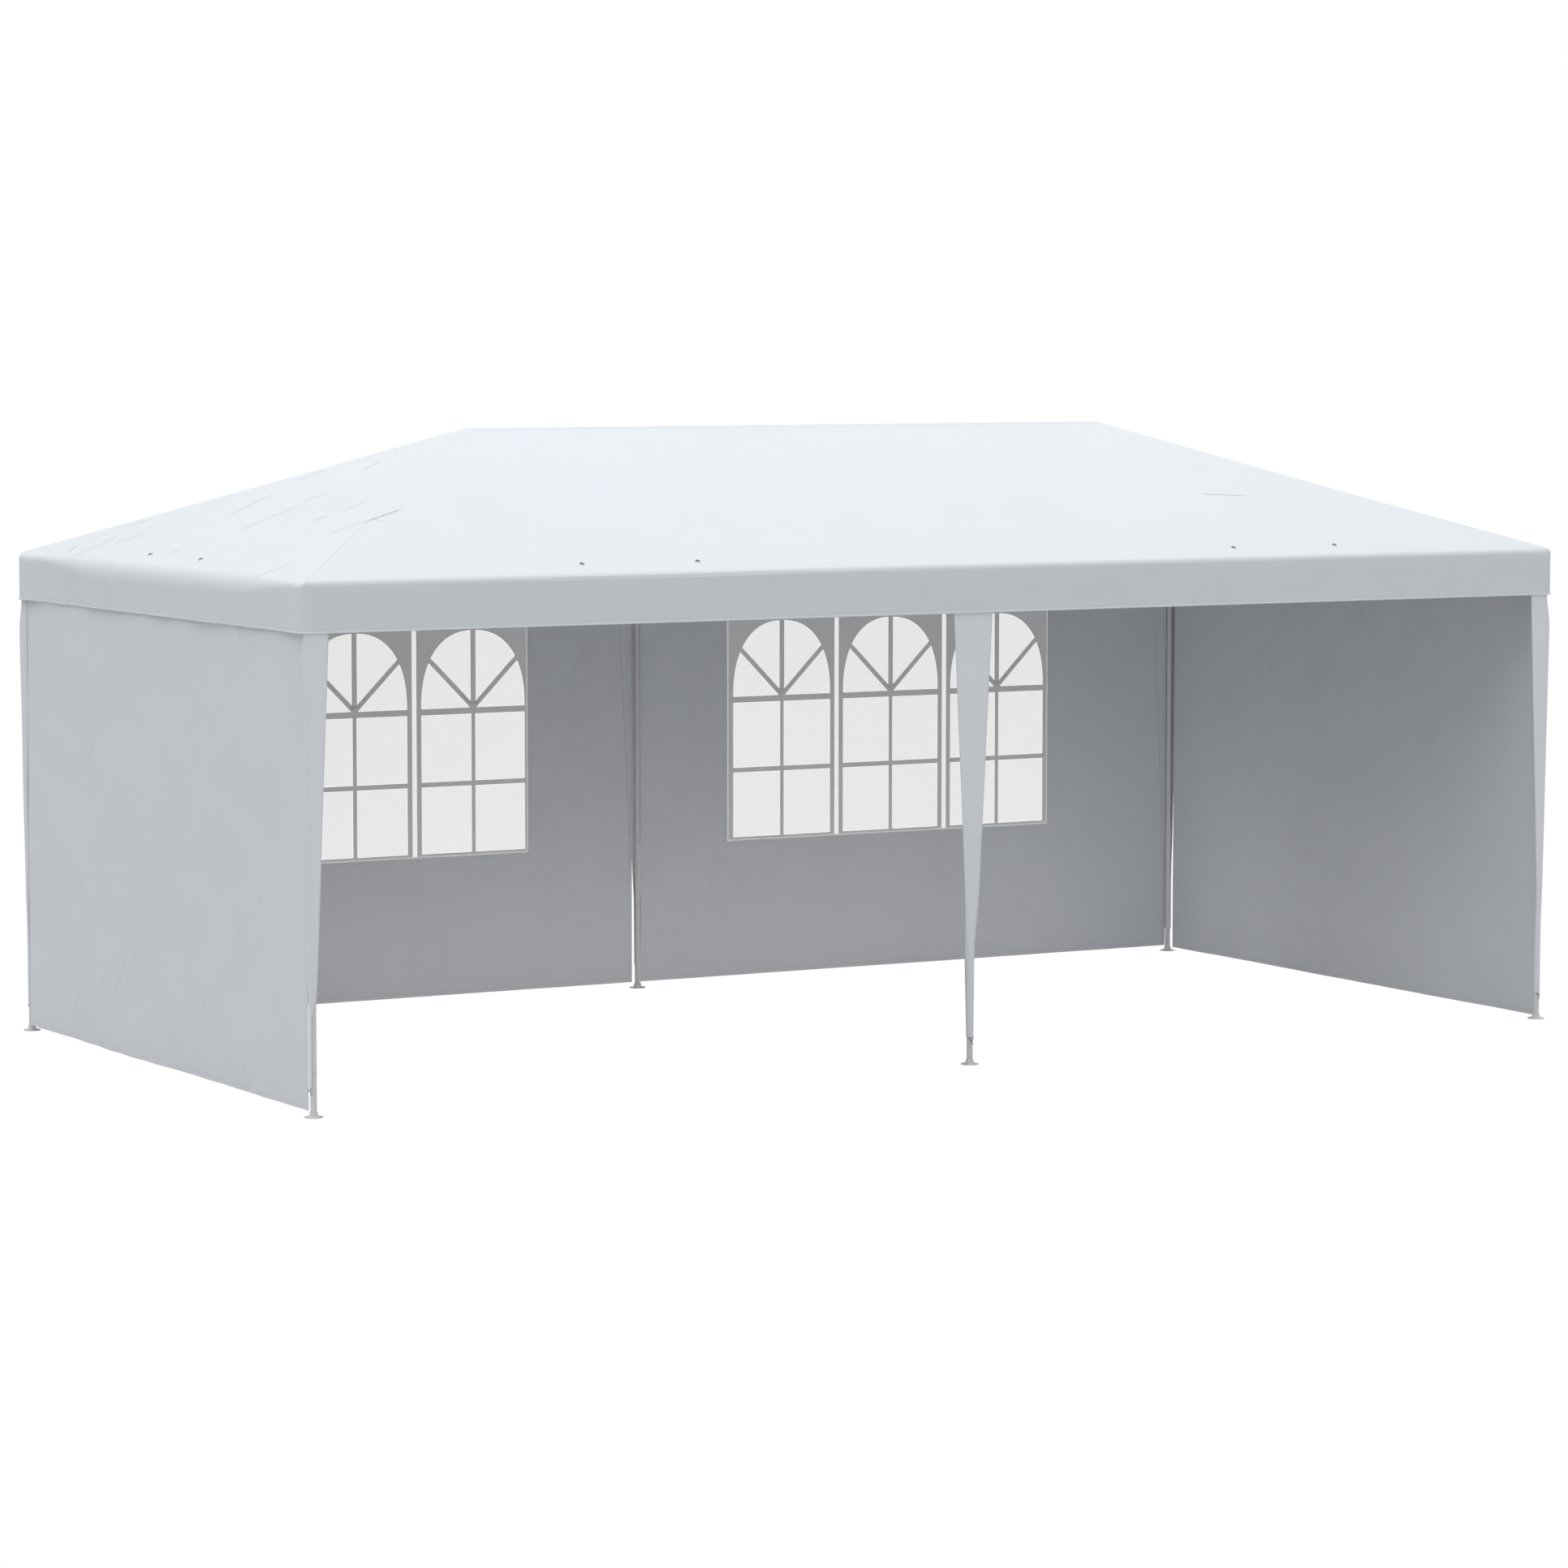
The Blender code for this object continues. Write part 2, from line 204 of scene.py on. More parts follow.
def grid_lines(low: float, high: float, step: float, breaks: Iterable[float] = ()) -> Array:
    """Evenly spaced lines across a sheet that meet each break exactly.

    Args:
        low: First line.
        high: Last line.
        step: Widest spacing.
        breaks: Places that get a line of their own.

    Returns:
        The lines' places, rising.
    """
    marks = np.unique(np.round([low, high, *(b for b in breaks if low < b < high)], 6))
    runs = [
        np.linspace(a, b, max(math.ceil((b - a) / step - 1e-6), 1), endpoint=False)
        for a, b in zip(marks[:-1], marks[1:])
    ]
    return np.append(np.concatenate(runs), high)


def hem_breaks(*edges: float) -> list[float]:
    """Lines beside hemmed edges, on both sides of each."""
    return [e + way * loop for e in edges for loop in (0, *HEM_LOOPS) for way in (-1, 1)]


def as_points(*parts: Array) -> Array:
    """Points, pairs or faces from their parts, which become the last axis."""
    return np.stack(parts, axis=-1)


def nearest(*gaps: Array) -> Array:
    """The smallest of several distances at every point."""
    return np.minimum.reduce(np.broadcast_arrays(*gaps))


def cell_corners(values: Array) -> Array:
    """The four corner values of every grid cell, in the order in which its face is drawn."""
    return np.stack((values[:-1, :-1], values[1:, :-1], values[1:, 1:], values[:-1, 1:]), axis=2)


@dataclass
class Cloth:
    """A sheet as a grid of points, rows downwards and columns to the right seen from outside.

    Attributes:
        name: The piece's name.
        points: Rows by columns by 3, in metres.
        flat: Rows by columns by 2, each point's place on the flat cloth, or the same for each
            cell's four corners, in metres.
        edge: Distance of each point from the nearest hemmed edge, in metres.
        keep: The cells that are cloth, or None for all.
        weld: Whether points that coincide are joined.
        thickness: Thickness of the sheet.
        lined: Whether its inner face has a finish of its own.
        pale: Each point's share of the finish's lighter tone, which is painted light, or None.
    """

    name: str
    points: Array
    flat: Array
    edge: Array
    keep: Array | None = None
    weld: bool = False
    thickness: float = SHEET_THICKNESS
    lined: bool = False
    pale: Array | None = None

    def build(self) -> Piece:
        """Make the sheet's object: one face for each kept cell, then its thickness.

        Returns:
            The new object, at the origin.
        """
        rows, columns = self.points.shape[:2]
        index = np.arange(rows * columns).reshape(rows, columns)
        keep = np.ones((rows - 1, columns - 1), bool) if self.keep is None else self.keep
        cells = cell_corners(index)[keep]
        used, faces = np.unique(cells, return_inverse=True)
        faces = faces.reshape(cells.shape)
        flat = self.flat if self.flat.ndim == 4 else cell_corners(self.flat)
        mesh = bpy.data.meshes.new(self.name)
        mesh.from_pydata(self.points.reshape(-1, 3)[used], [], faces.tolist())
        mesh.uv_layers.new(name="cloth").data.foreach_set("uv", flat[keep].astype("f").ravel())
        for word, values in (("edge", self.edge), ("pale", self.pale)):
            if values is not None:
                kept = mesh.attributes.new(word, "FLOAT", "POINT")
                kept.data.foreach_set("value", values.reshape(-1)[used].astype("f"))
        mesh.shade_smooth()
        if self.weld:
            clean_mesh(mesh, merge=1e-5, flat=1e-6)
        made = link_object(self.name, mesh)
        solid = made.modifiers.new("thickness", "SOLIDIFY")
        solid.thickness = self.thickness
        solid.offset = 0
        solid.material_offset = int(self.lined)
        return made


def clean_mesh(mesh: bpy.types.Mesh, merge: float = 0.0, flat: float = 0.0,
               outwards: bool = False) -> None:
    """Clean a mesh in place.

    Args:
        mesh: The mesh.
        merge: Distance within which its points are joined, or 0.
        flat: Length under which an edge's faces count as flat and go, or 0.
        outwards: Whether its normals are turned outwards.
    """
    bm = bmesh.new()
    bm.from_mesh(mesh)
    if merge:
        bmesh.ops.remove_doubles(bm, verts=bm.verts, dist=merge)
    if flat:
        bmesh.ops.dissolve_degenerate(bm, edges=bm.edges, dist=flat)
    if outwards:
        bmesh.ops.recalc_face_normals(bm, faces=bm.faces)
    bm.to_mesh(mesh)
    bm.free()


def link_object(name: str, mesh: bpy.types.Mesh) -> Piece:
    """Put a mesh into the scene as an object at the origin."""
    made = bpy.data.objects.new(name, mesh)
    bpy.context.scene.collection.objects.link(made)
    return made


def tube(path: Array, radius: float, sides: int = 8, closed: bool = False) -> tuple:
    """A round tube along a path.

    Each ring is the path's point plus radius times cos a times one normal and sin a times the
    other, the normals being square to the path's direction.

    Args:
        path: The points that the tube's middle follows.
        radius: The tube's radius.
        sides: Points round the tube.
        closed: Whether the path closes on itself.

    Returns:
        The points and the faces.
    """
    if closed:
        ahead = np.roll(path, -1, 0) - np.roll(path, 1, 0)
    else:
        ahead = np.gradient(path, axis=0)
    ahead = ahead / np.linalg.norm(ahead, axis=1, keepdims=True)
    helper = UP if abs(ahead[:, 2]).mean() < 0.8 else np.array([1.0, 0.0, 0.0])
    first = np.cross(ahead, helper)
    first = first / np.linalg.norm(first, axis=1, keepdims=True)
    second = np.cross(ahead, first)
    turn = (np.arange(sides) * math.tau / sides)[None, :, None]
    ring = np.cos(turn) * first[:, None] + np.sin(turn) * second[:, None]
    points = (path[:, None] + radius * ring).reshape(-1, 3)
    count = len(path)
    row = np.arange(count if closed else count - 1)[:, None]
    col = np.arange(sides)[None, :]
    after, beside = (row + 1) % count, (col + 1) % sides
    faces = as_points(row * sides + col, row * sides + beside, after * sides + beside,
                      after * sides + col).reshape(-1, 4).tolist()
    if not closed:
        faces.append(list(range(sides))[::-1])
        faces.append([(count - 1) * sides + k for k in range(sides)])
    return points, faces


def join_shapes(name: str, shapes: Sequence[tuple]) -> Piece:
    """Make one smooth object from several lists of points and faces.

    Args:
        name: The piece's name.
        shapes: Points and faces of each part.

    Returns:
        The new object, at the origin.
    """
    points, faces, start = [], [], 0
    for own_points, own_faces in shapes:
        points.append(own_points)
        faces += [[start + k for k in face] for face in own_faces]
        start += len(own_points)
    mesh = bpy.data.meshes.new(name)
    mesh.from_pydata(np.concatenate(points), [], faces)
    clean_mesh(mesh, outwards=True)
    mesh.shade_smooth()
    return link_object(name, mesh)


def dress(piece: Piece, material: bpy.types.Material) -> Piece:
    """Give a piece its finish and the body that carries it."""
    piece.data.materials.clear()
    piece.data.materials.append(material)
    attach(piece, BODY)
    LOG.info("%s: %d faces", piece.name, len(piece.data.polygons))
    return piece


class Tree:
    """Places and links the nodes of one shader tree."""

    def __init__(self, tree: NodeTree) -> None:
        """Keep the tree that the nodes go into."""
        self.tree = tree

    def node(self, kind: str, **settings: object) -> bpy.types.Node:
        """Add a node and set its own properties."""
        made = self.tree.nodes.new(kind)
        for name, value in settings.items():
            setattr(made, name, value)
        return made

    def feed(self, socket: Socket, value: object) -> None:
        """Link a socket to another one, or set it to a plain value."""
        if isinstance(value, Socket):
            self.tree.links.new(value, socket)
        else:
            socket.default_value = value

    def fill(self, made: bpy.types.Node, *values: object) -> bpy.types.Node:
        """Feed a node's first inputs in order."""
        for socket, value in zip(made.inputs, values):
            self.feed(socket, value)
        return made

    def give(self, made: bpy.types.Node, **values: object) -> None:
        """Feed a node's inputs by name."""
        for name, value in values.items():
            self.feed(made.inputs[name.replace("_", " ")], value)

    def math(self, operation: str, *values: object, clamp: bool = False) -> Socket:
        """Work out a number with a Math node."""
        made = self.node("ShaderNodeMath", operation=operation, use_clamp=clamp)
        return self.fill(made, *values).outputs[0]

    def times(self, *values: object, clamp: bool = False) -> Socket:
        """The product of two numbers."""
        return self.math("MULTIPLY", *values, clamp=clamp)

    def times_plus(self, *values: object) -> Socket:
        """The product of two numbers, plus a third."""
        return self.math("MULTIPLY_ADD", *values)

    def minus(self, *values: object, clamp: bool = False) -> Socket:
        """A number less another one."""
        return self.math("SUBTRACT", *values, clamp=clamp)

    def size(self, value: object) -> Socket:
        """A number without its sign."""
        return self.math("ABSOLUTE", value)

    def vector(self, operation: str, *values: object) -> Socket:
        """Work out a vector, or the product or distance of two."""
        made = self.fill(self.node("ShaderNodeVectorMath", operation=operation), *values)
        scalar = operation in ("DOT_PRODUCT", "DISTANCE")
        return made.outputs["Value" if scalar else "Vector"]

    def scale(self, vector: object, share: object) -> Socket:
        """A vector times a number."""
        made = self.fill(self.node("ShaderNodeVectorMath", operation="SCALE"), vector)
        self.give(made, Scale=share)
        return made.outputs[0]

    def split(self, vector: object) -> list[Socket]:
        """A vector's three parts."""
        return list(self.fill(self.node("ShaderNodeSeparateXYZ"), vector).outputs)

    def ramp(self, value: object, low: float, high: float, start: float = 0.0,
             stop: float = 1.0) -> Socket:
        """Map a value smoothly from start, at low, to stop, at high."""
        made = self.node("ShaderNodeMapRange", interpolation_type="SMOOTHSTEP")
        return self.fill(made, value, low, high, start, stop).outputs["Result"]

    def blend(self, share: object, first: object, second: object) -> Socket:
        """Mix two colours."""
        made = self.node("ShaderNodeMix", data_type="RGBA")
        for number, value in ((0, share), (6, first), (7, second)):
            self.feed(made.inputs[number], value)
        return made.outputs[2]

    def noise(self, vector: object, scale: float, detail: float = 2.0,
              distortion: float = 0.0) -> Socket:
        """A noise value from 0 to 1."""
        made = self.node("ShaderNodeTexNoise")
        self.give(made, Vector=vector, Scale=scale, Detail=detail, Distortion=distortion)
        return made.outputs[0]

    def place(self, group: NodeTree, **values: object) -> bpy.types.Node:
        """Add a group and feed its inputs, named in lower case."""
        made = self.node("ShaderNodeGroup", node_tree=group)
        self.give(made, **{name.capitalize(): value for name, value in values.items()})
        return made

    def attribute(self, name: str) -> Socket:
        """A number kept on the mesh."""
        return self.node("ShaderNodeAttribute", attribute_name=name).outputs["Fac"]

    def cloth_place(self) -> Socket:
        """Where a point lies on the flat cloth."""
        return self.node("ShaderNodeUVMap", uv_map="cloth").outputs["UV"]

    def object_place(self) -> Socket:
        """Where a point lies in the tent."""
        return self.node("ShaderNodeTexCoord").outputs["Object"]


def new_group(name: str, inputs: Sequence[tuple], outputs: Sequence[str]) -> tuple:
    """Start a shader node group.

    Args:
        name: The group's name.
        inputs: Name and default of each input; a default of None makes it a vector.
        outputs: Names of the outputs, all of them numbers.

    Returns:
        The group, its tree helper, its input sockets by name and its output node.
    """
    group = bpy.data.node_groups.new(name, "ShaderNodeTree")
    for label, default in inputs:
        kind = "NodeSocketVector" if default is None else "NodeSocketFloat"
        socket = group.interface.new_socket(label, in_out="INPUT", socket_type=kind)
        if default is not None:
            socket.default_value = default
    for label in outputs:
        group.interface.new_socket(label, in_out="OUTPUT", socket_type="NodeSocketFloat")
    tree = Tree(group)
    given = tree.node("NodeGroupInput").outputs
    return group, tree, given, tree.node("NodeGroupOutput")


class Effects:
    """The shader node groups that several finishes share."""

    def __init__(self) -> None:
        """Build every group once."""
        self.weave = self.make_weave()
        self.crumple = self.make_crumple()
        self.hem = self.make_hem()
        self.soil = self.make_soil()
        self.crease = self.make_crease()
        self.streak = self.make_streaks()
        self.pole = self.make_pole_line()
        self.grain = self.make_grain()

    def make_weave(self) -> NodeTree:
        """Flat tapes woven over and under: each cell shows the bow of one tape or the other."""
        group, t, given, out = new_group("woven_tapes", [("Cloth", None), ("Tape", 0.0022)],
                                         ["Height", "Shade"])
        u, v, _ = t.split(t.scale(given["Cloth"], t.math("DIVIDE", 1.0, given["Tape"])))
        count = t.math("ADD", t.math("FLOOR", u), t.math("FLOOR", v))
        over = t.math("FLOORED_MODULO", count, 2.0)
        bows = [t.size(t.math("SINE", t.times(w, math.pi))) for w in (u, v)]
        first = t.times(bows[0], over)
        second = t.times(bows[1], t.minus(1.0, over))
        height = t.math("SQRT", t.math("ADD", first, second))
        t.give(out, Height=height, Shade=t.minus(1.0, height))
        return group

    def make_crumple(self) -> NodeTree:
        """Soft ridges where a noise crosses its middle, in patches picked by a slower noise."""
        group, t, given, out = new_group("soft_crumple", [("Place", None), ("Scale", 6.0)],
                                         ["Height", "Ridge"])
        fine = t.noise(given["Place"], given["Scale"], 2.0, 0.5)
        off = t.size(t.minus(t.times(fine, 2.0), 1.0))
        ridge = t.math("POWER", t.minus(1.0, off, clamp=True), 7.0)
        slow = t.noise(given["Place"], t.times(given["Scale"], 0.27), 1.0)
        patch = t.ramp(slow, 0.42, 0.62)
        swell = t.noise(given["Place"], t.times(given["Scale"], 0.8), 1.0)
        marked = t.times(ridge, patch)
        t.give(out, Ridge=marked, Height=t.times_plus(marked, 0.35, swell))
        return group

    def make_hem(self) -> NodeTree:
        """A doubled hem: a step where it ends, a row of stitches just inside the step."""
        group, t, given, out = new_group(
            "stitched_hem", [("Edge", 1.0), ("Run", 0.0), ("Width", HEM_WIDTH), ("Pitch", 0.004)],
            ["Height", "Stitch", "Fold"])
        gap = t.minus(given["Edge"], given["Width"])
        fold = t.ramp(gap, -0.0012, 0.0, 1.0, 0.0)
        off = t.size(t.math("ADD", gap, 0.004))
        row = t.ramp(off, 0.0004, 0.0009, 1.0, 0.0)
        beat = t.math("FRACT", t.math("DIVIDE", given["Run"], given["Pitch"]))
        dash = t.ramp(t.size(t.minus(beat, 0.5)), 0.28, 0.36, 1.0, 0.0)
        stitch = t.times(row, dash)
        puckered = t.times_plus(row, -0.5, fold)
        t.give(out, Fold=fold, Stitch=stitch, Height=t.times_plus(stitch, 0.6, puckered))
        return group

    def make_soil(self) -> NodeTree:
        """Light dust in patches, thicker towards the ground."""
        group, t, given, out = new_group("light_soiling", [("Place", None), ("Rise", 0.25)],
                                         ["Mask"])
        low = t.math("DIVIDE", t.split(given["Place"])[2], given["Rise"])
        near = t.math("POWER", 2.718, t.times(low, -1.0))
        patches = t.ramp(t.noise(given["Place"], 3.0, 4.0), 0.45, 0.75)
        specks = t.ramp(t.noise(given["Place"], 60.0, 2.0), 0.55, 0.75)
        t.give(out, Mask=t.times_plus(patches, 0.25, t.times(near, specks)))
        return group

    def make_crease(self) -> NodeTree:
        """A short crease from start to end in plan, fading out at both."""
        group, t, given, out = new_group(
            "short_crease", [("Place", None), ("Start", None), ("End", None), ("Width", 0.005)],
            ["Mask"])
        run = t.vector("SUBTRACT", given["End"], given["Start"])
        way = t.vector("SUBTRACT", given["Place"], given["Start"])
        share = t.math("DIVIDE", t.vector("DOT_PRODUCT", way, run),
                       t.vector("DOT_PRODUCT", run, run))
        off = t.vector("DISTANCE", way, t.scale(run, t.times(share, 1.0, clamp=True)))
        line = t.minus(1.0, t.math("DIVIDE", off, given["Width"]), clamp=True)
        middle = t.size(t.minus(share, 0.5))
        t.give(out, Mask=t.times(line, t.ramp(middle, 0.30, 0.5, 1.0, 0.0)))
        return group

    def make_streaks(self) -> NodeTree:
        """Fine creases along a slant: the ridges of a stretched noise, in patches."""
        group, t, given, out = new_group(
            "slant_creases", [("Cloth", None), ("Slant", 0.9), ("Scale", 9.0)], ["Height"])
        turned = t.node("ShaderNodeVectorRotate", rotation_type="Z_AXIS")
        t.give(turned, Vector=given["Cloth"], Angle=t.times(given["Slant"], -1.0))
        drawn = t.vector("MULTIPLY", turned.outputs[0], (0.16, 1.0, 1.0))
        off = t.size(t.minus(t.noise(drawn, given["Scale"], 1.0, 0.3), 0.5))
        near = t.minus(1.0, t.times(off, 3.5), clamp=True)
        ridge = t.math("POWER", near, 2.0)
        patch = t.ramp(t.noise(given["Cloth"], 2.2, 1.0), 0.44, 0.62)
        swell = t.noise(drawn, t.times(given["Scale"], 0.45), 1.0)
        t.give(out, Height=t.times(patch, t.math("ADD", ridge, swell)))
        return group

    def make_pole_line(self) -> NodeTree:
        """The edge of the tapered leg cover behind a wall, pressed through it as a thin line, which
        is both bumped and painted as a shadow line.
        """
        group, t, given, out = new_group("pole_line", [("Place", None), ("Pole", 0.0)], ["Mask"])
        x, _, z = t.split(given["Place"])
        half = t.fill(t.node("ShaderNodeMapRange"), z, COVER_KNEE, COVER_TOP, COVER_KNEE_HALF,
                      COVER_TOP_HALF)
        across = t.minus(given["Pole"], x)
        off = t.size(t.minus(across, half.outputs[0]))
        t.give(out, Mask=t.ramp(off, 0.0004, 0.0024, 1.0, 0.0))
        return group

    def make_grain(self) -> NodeTree:
        """A fine uneven skin, as of powder coat or moulded plastic, and rubbed spots."""
        group, t, given, out = new_group("fine_grain", [("Place", None), ("Scale", 500.0)],
                                         ["Height", "Wear"])
        place = given["Place"]
        slow = t.ramp(t.noise(place, 25.0, 3.0), 0.60, 0.72)
        fine = t.ramp(t.noise(place, 220.0, 3.0), 0.50, 0.62)
        t.give(out, Height=t.noise(place, given["Scale"], 2.0), Wear=t.times(slow, fine))
        return group


def new_material(name: str) -> tuple[bpy.types.Material, Tree, bpy.types.Node]:
    """Start a material that holds one Principled shader.

    Args:
        name: The material's name.

    Returns:
        The material, its tree helper and its shader.
    """
    material = bpy.data.materials.new(name)
    material.use_nodes = True
    tree = Tree(material.node_tree)
    shader = material.node_tree.nodes["Principled BSDF"]
    return material, tree, shader


def add_bump(tree: Tree, shader: bpy.types.Node, height_mm: object) -> None:
    """Feed a height in millimetres to the shader's normal through a Bump node."""
    bump = tree.node("ShaderNodeBump")
    tree.give(bump, Strength=1.0, Distance=0.001, Height=height_mm)
    tree.give(shader, Normal=bump.outputs[0])


def opaque(colour: Sequence[float], share: float = 1.0) -> tuple[float, ...]:
    """A colour times a share, with an alpha of 1."""
    return (*(min(share * part, 0.97) for part in colour), 1.0)


SHEET_DUST = (0.45, 0.43, 0.39, 1.0)
POLE_SHADOW = (0.04, 0.04, 0.042, 1.0)
ROOF_CREASES = (
    ((-2.938, 0.923), (-2.682, 0.911)), ((-2.860, 1.057), (-2.808, 1.084)),
    ((-2.783, 0.808), (-2.647, 0.747)), ((-2.623, 1.051), (-2.515, 0.950)),
    ((-2.444, 0.386), (-2.203, 0.395)), ((-2.563, 0.014), (-2.273, -0.025)),
    ((-2.102, 0.457), (-1.990, 0.398)), ((-2.269, 0.019), (-2.169, -0.024)),
    ((-2.330, -0.492), (-2.237, -0.517)), ((-2.446, -0.435), (-2.361, -0.444)),
    ((-2.922, -0.954), (-2.779, -1.022)), ((-2.801, 0.147), (-2.737, 0.137)),
    ((-1.974, 0.086), (-1.868, 0.111)), ((-2.552, -0.777), (-2.330, -0.911)),
    ((-2.440, -0.913), (-2.195, -0.785)), ((-1.558, 0.777), (-1.807, 0.814)),
)
LEFT_POLES = (-2.9, 0.02)
RIGHT_POLES = (0.02, 2.9)


@dataclass(frozen=True)
class WovenSheet:
    """Coated woven sheet: tapes under a soft gloss, hems, creases and a little dust, with painted
    light and painted shade in its colour.

    Attributes:
        name: The finish's name.
        colour: Linear colour of the clean sheet.
        roughness: Roughness of the coating.
        crumple: Height of its soft crumples, in millimetres.
        crumple_scale: How many crumples there are to a metre.
        creases: Start and end in plan of the short creases on the left part of the roof.
        poles: X of the legs whose covers press through from behind, as a bump and a painted shadow
            line.
        hem: Width of its hems.
        painted_light: How much lighter the colour is painted where the pale attribute marks painted
            light.
        ridge_shade: How much the crumples' ridges are darkened, as painted shade.
        streak: Height of its slanting creases, in millimetres.
        slant: Their slope on the flat cloth, in radians.
    """

    name: str
    colour: tuple[float, float, float]
    roughness: float = 0.48
    crumple: float = 1.2
    crumple_scale: float = 5.0
    creases: tuple = ()
    poles: tuple = ()
    hem: float = HEM_WIDTH
    painted_light: float = 0.0
    ridge_shade: float = 0.35
    streak: float = 0.0
    slant: float = 0.9

    def material(self, effects: Effects) -> bpy.types.Material:
        """Build the sheet's material.

        Args:
            effects: The shared node groups.

        Returns:
            The finished material.
        """
        material, t, shader = new_material(self.name)
        place, cloth = t.object_place(), t.cloth_place()
        weave = t.place(effects.weave, cloth=cloth, tape=0.0022)
        crumple = t.place(effects.crumple, place=place, scale=self.crumple_scale)
        u, v, _ = t.split(cloth)
        hem = t.place(effects.hem, edge=t.attribute("edge"), run=t.math("ADD", u, v),
                      width=self.hem)
        soil = t.place(effects.soil, place=place)
        clean, shaded = opaque(self.colour), opaque(self.colour, 0.90)
        # Painted light: where the pale attribute is set, the colour is painted lighter to stand in
        # for extra light.
        if self.painted_light:
            clean = t.blend(t.attribute("pale"), clean, opaque(self.colour, 1 + self.painted_light))
        colour = t.blend(t.times(weave.outputs["Shade"], 0.5), clean, shaded)
        # Painted shade: the crumples' ridges are darkened as if in the folds' shade.
        colour = t.blend(t.times(crumple.outputs["Ridge"], self.ridge_shade), colour, shaded)
        height = t.times(crumple.outputs["Height"], self.crumple)
        height = t.times_plus(weave.outputs["Height"], 0.05, height)
        height = t.times_plus(hem.outputs["Height"], 0.35, height)
        if self.streak:
            streaks = t.place(effects.streak, cloth=cloth, slant=self.slant)
            height = t.times_plus(streaks.outputs["Height"], self.streak, height)
        if self.creases:
            mask = self.crease_mask(t, effects, place)
            # Painted shade: the creases darken the colour as well as dent the sheet.
            colour = t.blend(mask, colour, opaque(self.colour, 0.42))
            height = t.times_plus(mask, -0.6, height)
        for pole in self.poles:
            pressed = t.place(effects.pole, place=place, pole=pole)
            # Painted shadow: the cover's edge darkens the wall's colour in a thin line.
            share = t.times(pressed.outputs["Mask"], 0.22)
            colour = t.blend(share, colour, POLE_SHADOW)
            height = t.times_plus(pressed.outputs["Mask"], 0.5, height)
        colour = t.blend(hem.outputs["Stitch"], colour, opaque(self.colour, 0.80))
        colour = t.blend(t.times(soil.outputs["Mask"], 0.10), colour, SHEET_DUST)
        rough = t.times_plus(weave.outputs["Shade"], 0.08, self.roughness)
        t.give(shader, Base_Color=colour, Roughness=rough)
        add_bump(t, shader, height)
        return material

    def crease_mask(self, t: Tree, effects: Effects, place: object) -> Socket:
        """Where the short creases run.

        The right half of the roof repeats the left half's creases, turned half round.

        Args:
            t: The material's tree.
            effects: The shared node groups.
            place: Where the point lies in the tent.

        Returns:
            The creases' mask.
        """
        x, y, _ = t.split(place)
        way = t.times(t.math("SIGN", x), -1.0)
        plan = t.fill(t.node("ShaderNodeCombineXYZ"),
                      t.times(t.size(x), -1.0), t.times(y, way))
        mask = None
        for start, end in self.creases:
            crease = t.place(effects.crease, place=plan.outputs[0], start=(*start, 0.0),
                             end=(*end, 0.0))
            found = crease.outputs["Mask"]
            mask = found if mask is None else t.math("MAXIMUM", mask, found)
        return mask


@dataclass(frozen=True)
class ClearFilm:
    """Soft clear film, a little milky.

    Attributes:
        name: The finish's name.
        cover: Share of the light that each face stops.
        colour: Linear colour of what it stops.
        roughness: Roughness of the film.
    """

    name: str
    cover: float
    colour: tuple[float, float, float] = (0.86, 0.865, 0.87)
    roughness: float = 0.16

    def material(self, effects: Effects) -> bpy.types.Material:
        """Build the film's material.

        Args:
            effects: The shared node groups.

        Returns:
            The finished material.
        """
        material, t, shader = new_material(self.name)
        material.surface_render_method = "BLENDED"
        place = t.object_place()
        crumple = t.place(effects.crumple, place=place, scale=3.0)
        cloudy = t.noise(place, 2.5, 2.0)
        stopped = t.times(self.cover, t.times_plus(cloudy, 0.10, 0.95))
        t.give(shader, Base_Color=opaque(self.colour), Alpha=stopped,
               Roughness=t.times_plus(cloudy, 0.08, self.roughness))
        add_bump(t, shader, t.times(crumple.outputs["Height"], 0.5))
        return material


@dataclass(frozen=True)
class WindowPrint:
    """White ink printed on the film: a dense flat coat with a fine screen and soft edges.

    Attributes:
        name: The finish's name.
        colour: Linear colour of the ink.
        cover: Share of the light that it stops.
    """

    name: str = "window_print"
    colour: tuple[float, float, float] = (0.81, 0.83, 0.855)
    cover: float = 0.70

    def material(self, effects: Effects) -> bpy.types.Material:
        """Build the ink's material.

        Args:
            effects: The shared node groups.

        Returns:
            The finished material.
        """
        material, t, shader = new_material(self.name)
        material.surface_render_method = "BLENDED"
        place = t.object_place()
        grain = t.place(effects.grain, place=place, scale=900.0).outputs
        soft = t.noise(place, 8.0, 3.0)
        t.give(shader, Base_Color=t.blend(soft, opaque(self.colour), opaque(self.colour, 0.93)),
               Alpha=t.times_plus(grain["Wear"], -0.06, self.cover),
               Roughness=t.times_plus(soft, 0.1, 0.35))
        add_bump(t, shader, t.times(grain["Height"], 0.02))
        return material


